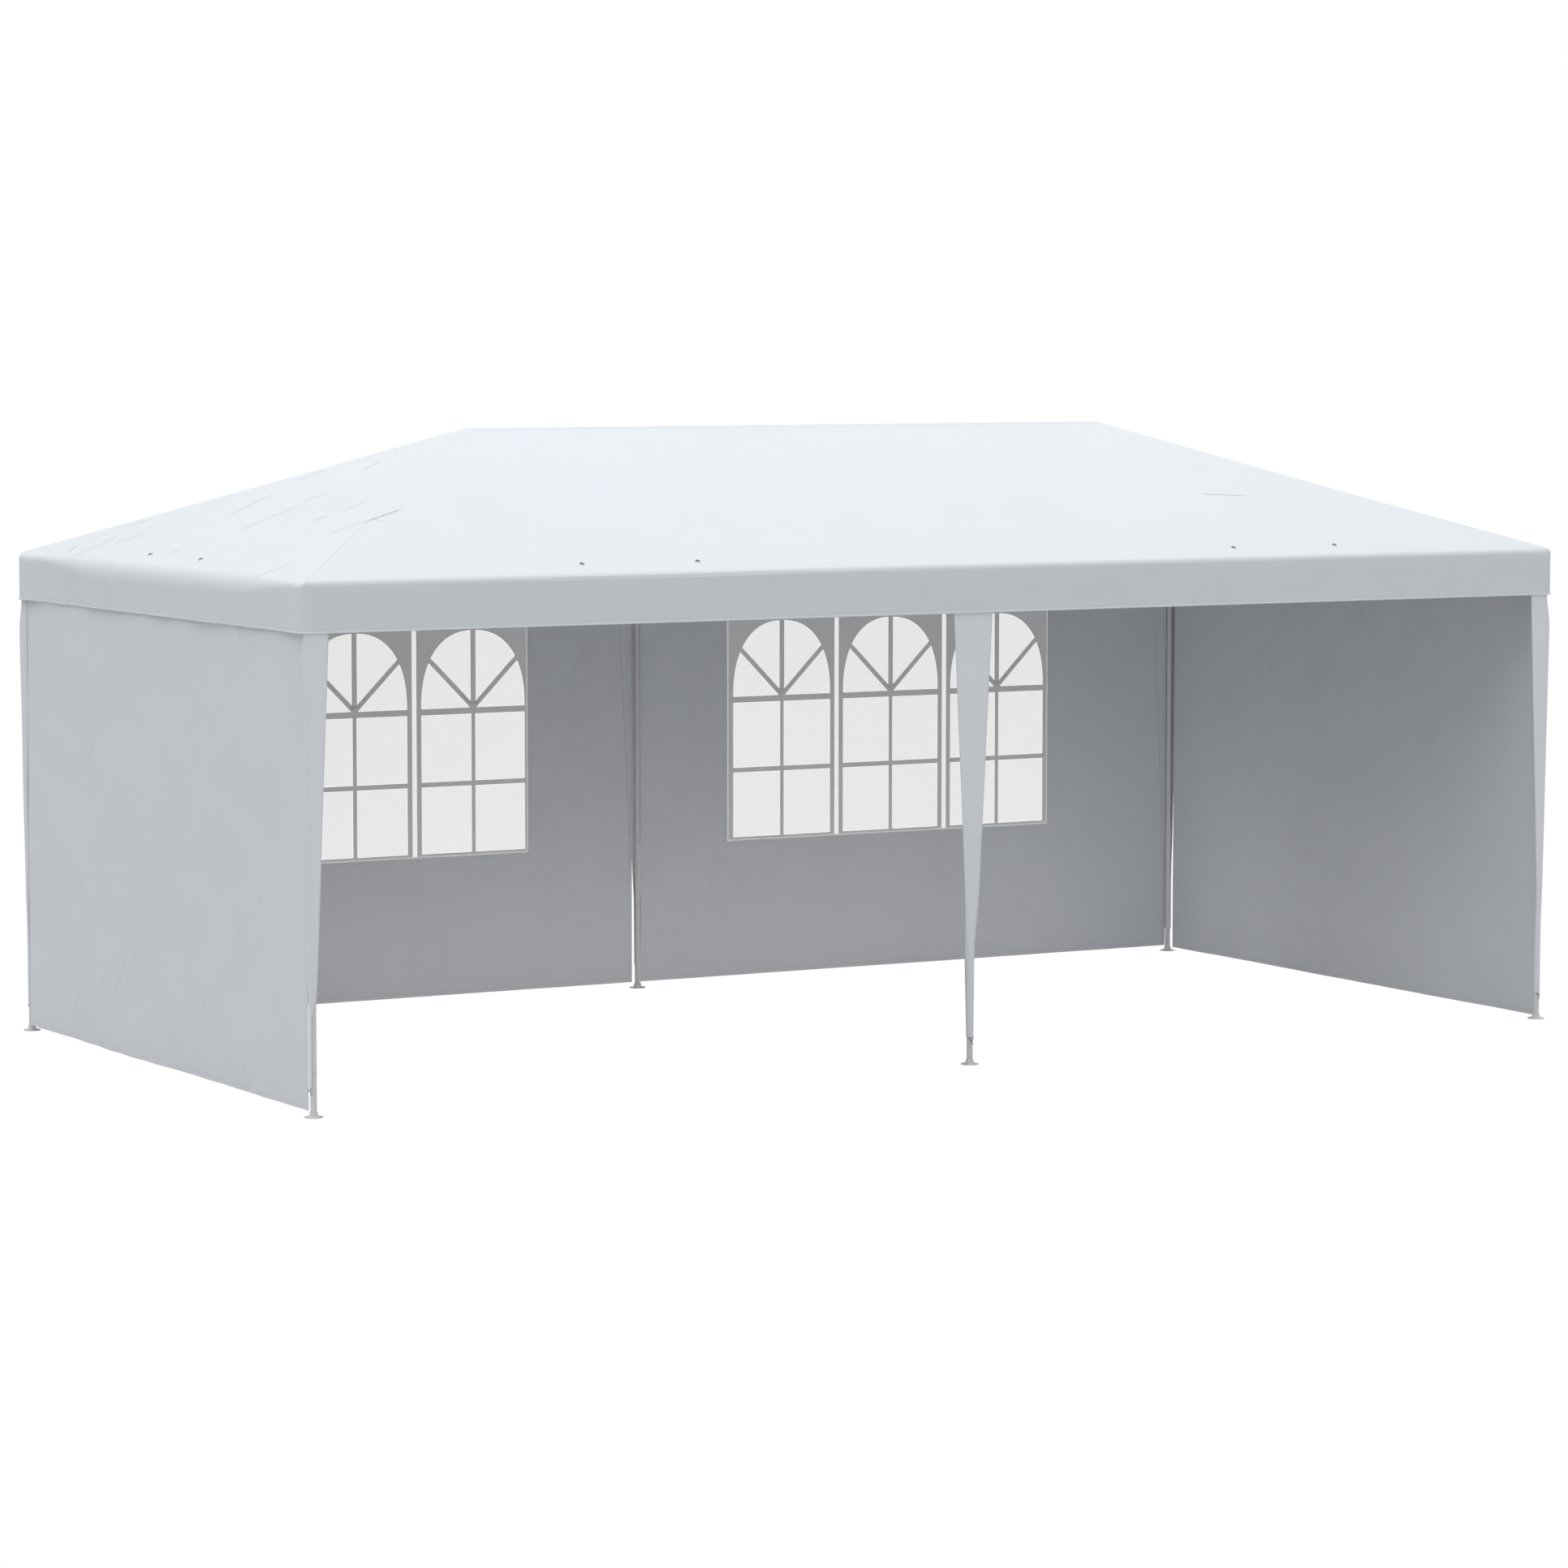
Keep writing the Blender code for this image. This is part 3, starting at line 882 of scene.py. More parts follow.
@dataclass(frozen=True)
class HardFinish:
    """Powder coat, moulded plastic or plated metal: a fine skin, rubbed spots and dust.

    Attributes:
        name: The finish's name.
        colour: Linear colour where it is clean.
        roughness: Roughness of its smoothest parts.
        grain: How many grains its skin has to a metre.
        skin: Height of its skin, in millimetres.
        rough_by: The grain's output that makes it rougher, and by how much.
        metallic: 1 for bare metal.
        tarnish: Share of its colour that is left on its dull grains, or None.
        rubbed: Share and colour of its rubbed spots, or None.
        dusty: Share, colour and height of its dust, or None.
    """

    name: str
    colour: tuple[float, float, float]
    roughness: float
    grain: float
    skin: float
    rough_by: tuple[str, float]
    metallic: float = 0.0
    tarnish: float | None = None
    rubbed: tuple | None = None
    dusty: tuple | None = None

    def material(self, effects: Effects) -> bpy.types.Material:
        """Build the finish's material.

        Args:
            effects: The shared node groups.

        Returns:
            The finished material.
        """
        material, t, shader = new_material(self.name)
        place = t.object_place()
        grain = t.place(effects.grain, place=place, scale=self.grain).outputs
        colour = opaque(self.colour)
        if self.tarnish:
            colour = t.blend(grain["Height"], colour, opaque(self.colour, self.tarnish))
        if self.rubbed:
            share, worn = self.rubbed
            colour = t.blend(t.times(grain["Wear"], share), colour, opaque(worn))
        if self.dusty:
            share, dust, rise = self.dusty
            soil = t.place(effects.soil, place=place, rise=rise).outputs["Mask"]
            colour = t.blend(t.times(soil, share), colour, opaque(dust))
        word, gain = self.rough_by
        t.give(shader, Base_Color=colour, Metallic=self.metallic,
               Roughness=t.times_plus(grain[word], gain, self.roughness))
        add_bump(t, shader, t.times(grain["Height"], self.skin))
        return material


def metal(name: str, colour: tuple[float, float, float], roughness: float,
          metallic: float = 1.0) -> HardFinish:
    """Plated metal or cord, slightly tarnished."""
    return HardFinish(name, colour, roughness, 900.0, 0.03, ("Height", 0.15), metallic, 0.6)


STEEL = HardFinish("coated_steel", (0.80, 0.81, 0.83), 0.34, 420.0, 0.06, ("Wear", 0.25),
                   rubbed=(0.5, (0.42, 0.42, 0.43)), dusty=(0.18, (0.42, 0.40, 0.36), 0.12))
PLASTIC = HardFinish("moulded_plastic", (0.80, 0.81, 0.82), 0.52, 1400.0, 0.08, ("Height", 0.12),
                     dusty=(0.25, (0.40, 0.38, 0.34), 0.03))


class Finishes:
    """Every material of the tent, built once."""

    def __init__(self) -> None:
        """Build the shared effects and then the materials."""
        effects = Effects()
        roof, wall = (0.785, 0.832, 0.878), (0.79, 0.825, 0.870)
        # Painted shade: the underside is a darker copy of the same white sheet, which also dims the
        # light it bounces inside.
        inside = (0.42, 0.42, 0.432)
        made = {
            "roof": WovenSheet("roof_sheet", roof, 0.45, 0.25, 3.2, ROOF_CREASES, painted_light=0.11,
                               ridge_shade=0.10),
            "roof_inside": WovenSheet("roof_underside", inside, 0.55, 0.7, 3.2),
            "wall_left": WovenSheet("wall_sheet_left", wall, 0.5, 1.2, 4.5, ridge_shade=0.2, streak=5.0),
            "wall_right": WovenSheet("wall_sheet_right", wall, 0.5, 1.0, 4.5, ridge_shade=0.2,
                                     streak=1.8, slant=-0.9),
            "back_left": WovenSheet("back_sheet_left", wall, 0.5, 0.9, 4.0, poles=LEFT_POLES),
            "back_right": WovenSheet("back_sheet_right", wall, 0.5, 0.9, 4.0, poles=RIGHT_POLES),
            "cover": WovenSheet("cover_sheet", wall, 0.5, 0.5, 9.0, hem=0.007, painted_light=0.105,
                                ridge_shade=0.1),
            "film": ClearFilm("window_film", 0.030),
            "pane": ClearFilm("window_pane", 0.125),
            "ink": WindowPrint(),
            "weld": WindowPrint("window_weld", cover=0.47),
            "steel": STEEL,
            "plastic": PLASTIC,
            "eyelet": metal("eyelet_metal", (0.76, 0.77, 0.78), 0.4, 0.15),
            "hook": metal("hook_metal", (0.10, 0.10, 0.11), 0.5),
            "knot": metal("eyelet_cord", (0.20, 0.205, 0.215), 0.7, 0.0),
            "cord": metal("elastic_cord", (0.16, 0.165, 0.175), 0.8, 0.0),
        }
        self.all = {name: finish.material(effects) for name, finish in made.items()}

    def __getitem__(self, name: str) -> bpy.types.Material:
        """The material of that name."""
        return self.all[name]


@dataclass
class SubPart:
    """A part of the tent, built along its lines with its materials.

    Attributes:
        lines: The tent's lines.
        finishes: The tent's materials.
    """

    lines: TentLines
    finishes: Finishes


@dataclass
class RoofCover(SubPart):
    """The roof cover: one sheet over ridge, hips and eaves that ends in the hanging valance.

    Attributes:
        side_roll: Radius of the bend over the eave on the long sides.
        end_roll: The same at the ends, beside the corners.
        loose_roll: The same along the rest of the ends, where the cover is looser.
        loose_reach: How much further out the valance hangs there.
        corner: Radius of the valance's corners in plan.
        right_extra: How much further it hangs out over the right end.
        hip_round: Radius of the hips in plan, at the eave.
        sag: How far the sheet hangs between the tubes.
        sag_fade: Distance from a tube over which the sag grows.
        end_wave: How far the loose end valance swings in and out.
        bead: Radius of the welded bead in the hem.
        eyelet: Radius of the eyelets.
        eyelet_wire: Radius of their rims.
        knot_cord: Radius of the knots' cord.
        eyelets: Their places in plan, on one half of the roof.
        end_start: Where the ends' flat cloth starts, clear of the long sides' cloth.
        flat: Size of the cover laid flat; not used.
        area: Its area, without the cut-off corners; not used.
        slope_rows: Rows of points on a slope.
        roll_rows: Rows of points over a bend.
        step: Spacing of the columns on the long sides.
        end_step: The same at the ends.
    """

    side_roll: float = 0.030
    end_roll: float = 0.030
    loose_roll: float = 0.082
    loose_reach: float = 0.006
    corner: float = 0.042
    right_extra: float = 0.014
    hip_round: float = 0.012
    sag: float = 0.008
    sag_fade: float = 0.35
    end_wave: float = 0.005
    bead: float = 0.0036
    eyelet: float = 0.0098
    eyelet_wire: float = 0.0022
    knot_cord: float = 0.0016
    eyelets: tuple = ((-1.7028, -1.342), (-1.1911, -1.342), (1.3554, -1.342), (1.8691, -1.342),
                      (-2.822, 0.2755), (-2.822, -0.2304))
    end_start: float = 7.0
    flat: tuple[float, float] = (3.45, 6.65)
    area: float = 22.0
    slope_rows: int = 36
    roll_rows: int = 10
    step: float = 0.035
    end_step: float = 0.020

    def bend(self, reach: float, roll: float, pitch: float, inner: float) -> tuple:
        """The section of one side from the ridge to the start of the valance.

        The slope is a straight line, z = eave + stand-off / cos p - out tan p. The bend is an arc
        that touches both the slope and the valance's plane.

        Args:
            reach: Distance of the valance outside the leg axes.
            roll: Radius of the bend.
            pitch: Slope angle.
            inner: Distance of the ridge inside the leg axes, as a negative number.

        Returns:
            Two arrays, how far out and how high each row is.
        """
        h = self.lines.stand_off
        out = reach - roll
        up = (h - roll - out * math.sin(pitch)) / math.cos(pitch)
        turn = np.linspace(0, math.pi / 2 - pitch, self.roll_rows)
        arc_out = out + roll * np.sin(pitch + turn)
        arc_up = up + roll * np.cos(pitch + turn)
        slope_out = np.linspace(inner, arc_out[0], self.slope_rows, endpoint=False)
        slope_up = h / math.cos(pitch) - slope_out * math.tan(pitch)
        return np.append(slope_out, arc_out), np.append(slope_up, arc_up)

    def ridge_end(self) -> float:
        """X at which the end slope meets the ridge."""
        n = self.lines
        rise = n.ridge_z - n.eave_z
        gain = n.stand_off / math.cos(n.side_pitch) - n.stand_off / math.cos(n.end_pitch)
        return n.half_x - (rise + gain) / math.tan(n.end_pitch)

    def slopes(self, x: Array, y: Array) -> tuple[Array, Array]:
        """Heights of the side slope's and the end slope's planes over points in plan."""
        n = self.lines
        side = n.eave_z + n.stand_off / math.cos(n.side_pitch)
        side = side + (n.half_y - np.abs(y)) * math.tan(n.side_pitch)
        end = n.eave_z + n.stand_off / math.cos(n.end_pitch)
        return side, end + (n.half_x - np.abs(x)) * math.tan(n.end_pitch)

    def droop(self, x: Array, y: Array) -> Array:
        """How far the sheet hangs below its planes.

        The product of 1 - exp(-(d / fade)2) over the distances d to the tubes round the panel.

        Args:
            x: X of the points.
            y: Y of the points.

        Returns:
            The sag in metres, positive downwards.
        """
        n = self.lines
        side, end = self.slopes(x, y)
        tilt = math.hypot(math.tan(n.side_pitch), math.tan(n.end_pitch))
        on_side = side < end
        eave = np.where(on_side, n.half_y - np.abs(y), n.half_x - np.abs(x))
        no_tube = 9.0
        rafter = np.where(on_side, np.abs(x - n.middle_x), no_tube)
        ridge = np.where(on_side, np.abs(y), no_tube)
        depth = self.sag * np.ones_like(side)
        for gap in (np.abs(side - end) / tilt, np.clip(eave, 0, None), rafter, ridge):
            depth = depth * (1 - np.exp(-((gap / self.sag_fade) ** 2)))
        return depth

    def surface_z(self, x: float, y: float) -> float:
        """Height of the sheet over one point of the slopes."""
        side, end = self.slopes(np.array(x), np.array(y))
        return float(np.minimum(side, end) - self.droop(np.array([x]), np.array([y]))[0])

    def columns(self) -> tuple[Array, Array, Array]:
        """Where the columns run, once round the tent and anticlockwise seen from above.

        Returns:
            For each column the shares of the straight half length and half width, each from -1
            to 1, and its heading: 0 points along +X and a quarter turn along +Y.
        """
        n = self.lines
        side = np.linspace(-1, 1, round(2 * n.half_x / self.step), endpoint=False)
        end = np.linspace(-1, 1, round(2 * n.half_y / self.end_step), endpoint=False)
        turn = np.linspace(0, math.pi / 2, 9, endpoint=False)
        along, across, heading = [], [], []
        corners = ((1, -1), (1, 1), (-1, 1), (-1, -1))
        straights = (side, end, side, end)
        for k, (sx, sy) in enumerate(corners):
            straight = straights[k] if k < 2 else -straights[k]
            fixed = np.full_like(straight, (-1, 1, 1, -1)[k])
            along.append(straight if k % 2 == 0 else fixed)
            across.append(fixed if k % 2 == 0 else straight)
            heading.append(np.full_like(straight, (k - 1) * math.pi / 2))
            along.append(np.full_like(turn, sx))
            across.append(np.full_like(turn, sy))
            heading.append((k - 1) * math.pi / 2 + turn)
        joined = [np.concatenate(part) for part in (along, across, heading)]
        return tuple(np.append(part, part[:1] + (math.tau if k == 2 else 0))
                     for k, part in enumerate(joined))

    def valance_rows(self) -> Array:
        """Depths of the valance's rows below the bends, as shares from 0 to 1, hem loops last."""
        n = self.lines
        drop = n.eave_z - self.side_roll - n.valance_z
        even = np.linspace(0, 1 - HEM_LOOPS[-1] / drop, 7)[1:]
        return np.append(even, 1 - np.array(HEM_LOOPS[-2::-1] + (0.0,)) / drop)

    def build(self) -> Piece:
        """Make the cover, its hem bead and its eyelets.

        Each row is a rounded rectangle: half sizes from the side's and the end's sections, and
        straight runs shortened by the corner's radius. Its height goes from the side's to the
        end's with the square of the heading's cosine.

        Returns:
            The cover.
        """
        n = self.lines
        side_out, side_up = self.bend(n.side_reach, self.side_roll, n.side_pitch, -n.half_y)
        inner = self.ridge_end() - n.half_x
        tight = self.bend(n.end_reach, self.end_roll, n.end_pitch, inner)
        loose = self.bend(n.end_reach + self.loose_reach, self.loose_roll, n.end_pitch, inner)
        side_out, side_up = self.hang_down(side_out, side_up)
        tight, loose = self.hang_down(*tight), self.hang_down(*loose)
        along, across, heading = self.columns()
        place = (1 + across * np.sign(np.cos(heading))) / 2
        slack = ease(place, 0.05, 0.32) * (1 - ease(place, 0.80, 0.97))
        end_out, end_up = [a[:, None] + slack * (b - a)[:, None] for a, b in zip(tight, loose)]
        size_x = n.half_x + end_out + self.right_extra * ease(end_out, -0.6, 0.0) * (along > 0)
        size_y = (n.half_y + side_out)[:, None]
        down = ease((side_out / n.half_y + 1)[:, None], 0, 1)
        hang = ease(np.arange(len(side_out)), self.slope_rows, self.slope_rows + self.roll_rows)
        hip = self.hip_round
        radius = hip * np.minimum(down * 4, 1) + hang[:, None] * (self.corner - hip)
        radius = np.minimum(radius, size_y)
        x = along * (size_x - radius) + radius * np.cos(heading)
        y = across * (size_y - radius) + radius * np.sin(heading)
        facing = np.cos(heading) ** 2
        z = n.eave_z + side_up[:, None] * (1 - facing) + end_up * facing
        run = self.run_lengths(side_out, side_up)
        slope = 1 - hang[:, None]
        swung = self.swing(x, y, run, facing)
        pulled = self.pulled(x, heading, run, hang) * 0.7
        x = x + np.cos(heading) * swung
        y = y + np.sin(heading) * (swung + pulled)
        z = z + pulled
        z = z - self.droop(x, y) * slope
        points = as_points(x, y, z)
        edge = np.broadcast_to(run[:, None], x.shape)
        on_side = cell_corners(as_points(x, edge))
        on_end = cell_corners(as_points(y, edge + self.end_start))
        is_end = (np.abs(np.cos(heading)) > 0.72)[:-1]
        flat = np.where(is_end[None, :, None, None], on_end, on_side)
        # Painted light: the end slopes get the lighter tone.
        cloth = Cloth("roof_cover", points, flat, edge, weld=True, lined=True, pale=facing * slope)
        piece = dress(cloth.build(), self.finishes["roof"])
        piece.data.materials.append(self.finishes["roof_inside"])
        nodes = [f"{kind}_{place}" for kind in ("roof_panel", "valance")
                 for place in ("front", "back", "left", "right")]
        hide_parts(*nodes)
        hem = self.add_hem(points[-1], heading)
        rings, knots = self.add_eyelets()
        tubes = [f"eave_tube_{side.word}_{end.word}" for side in Side for end in End]
        tubes += ["ridge_tube_left", "ridge_tube_right"]
        return piece

    def hang_down(self, out: Array, up: Array) -> tuple[Array, Array]:
        """Add the valance's rows, which hang straight down, to a section of the cover."""
        share = self.valance_rows()
        low = self.lines.valance_z - self.lines.eave_z
        return (np.append(out, np.full_like(share, out[-1])),
                np.append(up, up[-1] + share * (low - up[-1])))

    def run_lengths(self, out: Array, up: Array) -> Array:
        """Distance along the sheet from each row to the hem."""
        steps = np.hypot(np.diff(out), np.diff(up))
        return np.append(np.cumsum(steps[::-1])[::-1], 0.0)

    def swing(self, x: Array, y: Array, run: Array, facing: Array) -> Array:
        """How far the valance stands out from its plane.

        Ripples grow from the eave to the hem. The ends swing most, away from their corners, and
        the long sides only breathe.

        Args:
            x: X of the points.
            y: Y of the points.
            run: Distance of each row from the hem.
            facing: 1 on the ends and 0 on the long sides.

        Returns:
            The distance in metres, positive outwards.
        """
        n = self.lines
        fall = ease(-run, -0.26, 0.0)[:, None]
        bulge = (ease(-run, -0.30, -0.16) * (1 - 0.45 * ease(-run, -0.16, 0.0)))[:, None]
        clear = ease(n.half_y - np.abs(y), 0.03, 0.30)
        end = ripple(y, x * 0 + run[:, None] * 0.5, 0.42, 5) * fall * self.end_wave
        crumpled = ease(ripple(y, run[:, None], 0.5, 12), -0.2, 0.6)
        end = end + np.tanh(ripple(y, run[:, None] * 1.3, 0.13, 11)) * bulge * crumpled * 0.0034
        end = end - 0.018 * fall
        side = (ripple(x, x * 0, 0.9, 7) + 0.6) * 0.0011 * fall
        side = side * ease(n.half_x - np.abs(x), 0.02, 0.4)
        return np.where(facing > 0.5, end * clear * ease(facing, 0.9, 1.0),
                        side * ease(1 - facing, 0.9, 1.0))

    def pulled(self, x: Array, heading: Array, run: Array, hang: Array) -> Array:
        """Fine stretch folds along the bend over the eave, left of the middle on each long side.

        A sine along the run, 17 mm long, whose start drifts slowly with x.

        Args:
            x: X of the points.
            heading: The columns' headings.
            run: Distance of each row from the hem.
            hang: 0 on the slopes, rising to 1 over the bend.

        Returns:
            The folds' height.
        """
        left = -x * np.sign(np.sin(heading))
        span = ease(left, -1.97, -1.80) * (1 - ease(left, -0.95, -0.72))
        bend = (ease(hang, 0.0, 0.15) * (1 - ease(hang, 0.85, 1.0)))[:, None]
        long_side = np.abs(np.sin(heading)) > 0.999
        wave = np.sin(run[:, None] * math.tau / 0.017 + 1.4 * np.sin(left * 3.1))
        return 0.0010 * wave * span * bend * long_side

    def add_hem(self, edge: Array, heading: Array) -> Piece:
        """Run the hem's bead round the valance's bottom edge.

        Args:
            edge: The points of the bottom edge.
            heading: The columns' headings.

        Returns:
            The bead.
        """
        away = as_points(np.cos(heading), np.sin(heading), np.zeros_like(heading))
        path = (edge + away * self.bead * 0.55 + UP * self.bead * 0.4)[:-1]
        piece = join_shapes("valance_hem", [tube(path, self.bead, 8, closed=True)])
        mesh = piece.data
        mesh.uv_layers.new(name="cloth")
        mesh.attributes.new("edge", "FLOAT", "POINT").data.foreach_set(
            "value", np.ones(len(mesh.vertices), "f"))
        return dress(piece, self.finishes["roof"])

    def add_eyelets(self) -> tuple[Piece, Piece]:
        """Set the eyelets into the slopes just above the eave, each with its knotted loop.

        The eyelet is a flattened ring, and the knot a squashed ball of cord in its hole.

        Returns:
            The eyelets and the knots.
        """
        n = self.lines
        spots = list(self.eyelets) + [(-x, -y) for x, y in self.eyelets]
        rings, knots = [], []
        around = np.linspace(0, math.tau, 24, endpoint=False)
        for x, y in spots:
            on_end = abs(x) > 2.5
            pitch = n.end_pitch if on_end else n.side_pitch
            out = np.array([np.sign(x), 0, 0]) if on_end else np.array([0, np.sign(y), 0])
            normal = out * math.sin(pitch) + UP * math.cos(pitch)
            first = np.cross(UP, out)
            second = np.cross(normal, first)
            centre = np.array([x, y, self.surface_z(x, y)]) + normal * 0.0012
            ring = np.cos(around)[:, None] * first + np.sin(around)[:, None] * second
            rings.append(tube(centre + self.eyelet * ring, self.eyelet_wire, 8, closed=True))
            wind = np.linspace(0, 2.6 * math.tau, 60)
            swirl = 0.0014 + 0.0028 * np.sin(wind / 5.2)[:, None]
            curl = swirl * (np.cos(wind)[:, None] * first * 1.6 + np.sin(wind)[:, None] * second)
            lift = normal * (0.0006 + 0.0022 * np.sin(wind / 2.0) ** 2)[:, None]
            knots.append(tube(centre + curl + lift, self.knot_cord, 7))
        rims, cords = join_shapes("roof_eyelets", rings), join_shapes("roof_eyelet_knots", knots)
        return (dress(rims, self.finishes["eyelet"]),
                dress(cords, self.finishes["knot"]))


@dataclass(frozen=True)
class WallPlane:
    """The upright plane that a wall hangs in.

    Attributes:
        outward: Unit vector out of the tent.
        distance: Distance of the plane from the tent's middle.
    """

    outward: tuple[float, float, float]
    distance: float

    def points(self, right: Array, height: Array, out: Array) -> Array:
        """Points of the wall: outward times distance, plus right and height along the plane."""
        outward = np.array(self.outward)
        across = np.cross(UP, outward)
        return (outward * (self.distance + out[..., None]) + across * right[..., None]
                + UP * height[..., None])


@dataclass
class EndWall(SubPart):
    """A plain wall sheet between two corner legs.

    Attributes:
        end: The end that it closes.
        low: Height of its bottom edge.
        dip: How much lower its bottom edge hangs at the front.
        front_gap: Distance of its front edge from the leg's axis.
        back_gap: The same for its back edge.
        depth: How far its soft folds stand out.
    """

    end: End
    low: float = 0.025
    dip: float = 0.0
    front_gap: float = 0.0135
    back_gap: float = 0.022
    depth: float = 0.006

    def build(self) -> Piece:
        """Make the wall: a flat grid plus folds that die out at legs and eave.

        Returns:
            The wall.
        """
        n = self.lines
        ends = (self.front_gap - n.half_y, n.half_y - self.back_gap)
        left, right = sorted(self.end.value * y for y in ends)
        across = grid_lines(left, right, 0.016, hem_breaks(left, right))
        height = grid_lines(self.low, n.eave_z, 0.018, hem_breaks(self.low, n.eave_z))[::-1]
        u, v = np.meshgrid(across, height)
        inside = np.minimum(u - left, right - u)
        edge = nearest(inside, v - self.low, n.eave_z - v)
        free = ease(inside, 0.03, 0.42) * ease(n.eave_z - v, 0.10, 0.55)
        seed = 21 if self.end is End.LEFT else 33
        folds = ripple(u, v, 1.15, seed) * self.depth + ripple(u, v, 0.33, seed + 1) * 0.0016
        low_folds = np.sin(u * math.tau / 0.31 + 1.3 * np.sin(u * 4 + seed))
        low_folds = low_folds * ease(-v, -0.75, -0.05) * ease(inside, 0.02, 0.3)
        folds = folds * free + 0.0012 * low_folds
        front = 0.5 - u * self.end.value / (2 * n.half_y)
        dropped = v - self.dip * front * ease(-v, -0.8, -self.low)
        plane = WallPlane((float(self.end.value), 0.0, 0.0), n.half_x + n.wall_reach)
        cloth = Cloth(f"end_wall_sheet_{self.end.word}", plane.points(u, dropped, folds),
                      as_points(u, v), edge)
        piece = dress(cloth.build(), self.finishes[f"wall_{self.end.word}"])
        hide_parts(f"end_wall_{self.end.word}")
        return piece


@dataclass
class WindowGroup:
    """Three arched windows printed side by side on one strip of clear film.

    Attributes:
        centre: X of the middle window's centre.
        pitch: Distance between the windows' centres.
        half: Half width of the glazed part of a window.
        border: Width of the printed border beside it.
        end_border: The same beside the group's right end.
        low: Height of the film's bottom edge.
        high: Height of its top edge.
        sill: Height of the lower panes' bottom.
        middle: Height of the bar between the lower panes.
        spring: Height of the transom, where the arch starts.
        rise: Height of the arch over the transom.
        bar: Width of the upright bars.
        fan_bar: Width of the fan's upright bar.
        slant_bar: Width of the fan's sloping bars.
        middle_bar: Width of the bar between the lower panes.
        transom: Width of the transom.
        hub: Radius of the disc where the fan's bars meet.
        fullness: Power n of the arch, (x / a)^n + (z / b)^n = 1; 2 would be an ellipse.
        shy: How far the milky panes stop short of the print.
        weld: Width of the weld line round the film.
        lap: How far the film runs on behind the wall.
        film: Thickness of the film.
        coat: Thickness of the panes and the print; the weld is twice as thick.
        layers: How far inside the wall's middle the film, the panes, the print and the weld lie.
    """

    centre: float
    pitch: float = 0.5793
    half: float = 0.255
    border: float = 0.0240
    end_border: float = 0.0212
    low: float = 0.641
    high: float = 1.700
    sill: float = 0.6577
    middle: float = 0.9645
    spring: float = 1.2865
    rise: float = 0.3425
    bar: float = 0.0193
    fan_bar: float = 0.0256
    slant_bar: float = 0.0218
    middle_bar: float = 0.0216
    transom: float = 0.0275
    hub: float = 0.0175
    fullness: float = 2.3
    shy: float = 0.0025
    weld: float = 0.007
    lap: float = 0.006
    film: float = 0.0003
    coat: float = 0.0002
    layers: tuple = (0.0006, 0.0010, 0.0014, 0.0018)

    @property
    def left(self) -> float:
        """X of the film's left edge."""
        return self.centre - self.pitch - self.half - self.border - self.weld

    @property
    def right(self) -> float:
        """X of the film's right edge."""
        return self.centre + self.pitch + self.half + self.end_border + self.weld

    def fan_pane(self, centre: float, low: float, high: float, shy: float) -> Array:
        """Outline of one pane of the fan.

        Its sides run beside the bars, at half a bar's width from lines through the hub's centre.
        Outside it follows the arch, and inside the hub's circle.

        Args:
            centre: X of the window's centre.
            low: Heading of the first bar, in radians.
            high: Heading of the second bar.
            shy: How far the pane stops short of the print.

        Returns:
            The outline's points in the window's plane.
        """
        base = self.spring + self.transom / 2
        a, b, hub = self.half - shy, self.rise - shy, self.hub + shy
        far_share = np.linspace(0.0, 0.6, 4001)
        ends = []
        for heading, inward in ((low, 1), (high, -1)):
            upright = abs(math.cos(heading)) < 1e-6
            level = abs(math.sin(heading)) < 1e-6
            off = shy + (0.0 if level else self.fan_bar / 2 if upright else self.slant_bar / 2)
            way = np.array([math.cos(heading), math.sin(heading)])
            start = np.array([-way[1], way[0]]) * inward * off
            line = np.abs(start + far_share[:, None] * way) / (a, b)
            far = np.interp(1.0, (line**self.fullness).sum(1), far_share)
            near = math.sqrt(max(hub * hub - off * off, 0.0))
            ends.append((start + way * near, start + way * far))
        power = self.fullness / 2
        rim = [math.atan2((p[1][1] / b) ** power, abs(p[1][0] / a) ** power * np.sign(p[1][0]))
               for p in ends]
        inner = [math.atan2(p[0][1], p[0][0]) for p in ends]
        out_turn = np.linspace(rim[0], rim[1], 24)
        in_turn = np.linspace(inner[1], inner[0], 7)
        across = np.sign(np.cos(out_turn)) * np.abs(np.cos(out_turn)) ** (1 / power)
        outer = as_points(a * across, b * np.abs(np.sin(out_turn)) ** (1 / power))
        hubside = as_points(hub * np.cos(in_turn), hub * np.sin(in_turn))
        return np.concatenate((outer, hubside)) + np.array([centre, base])

    def panes(self, centre: float, shy: float) -> list[Array]:
        """Outlines of a window's eight panes.

        Args:
            centre: X of the window's centre.
            shy: How far the panes stop short of the print.

        Returns:
            One outline for each pane.
        """
        found = []
        levels = ((self.sill, self.middle - self.middle_bar / 2),
                  (self.middle + self.middle_bar / 2, self.spring - self.transom / 2))
        for left, right in ((-self.half, -self.bar / 2), (self.bar / 2, self.half)):
            found += [rectangle(centre + left + shy, centre + right - shy, low + shy, high - shy)
                      for low, high in levels]
        quarter = math.pi / 4
        found += [self.fan_pane(centre, k * quarter, (k + 1) * quarter, shy) for k in range(4)]
        return found

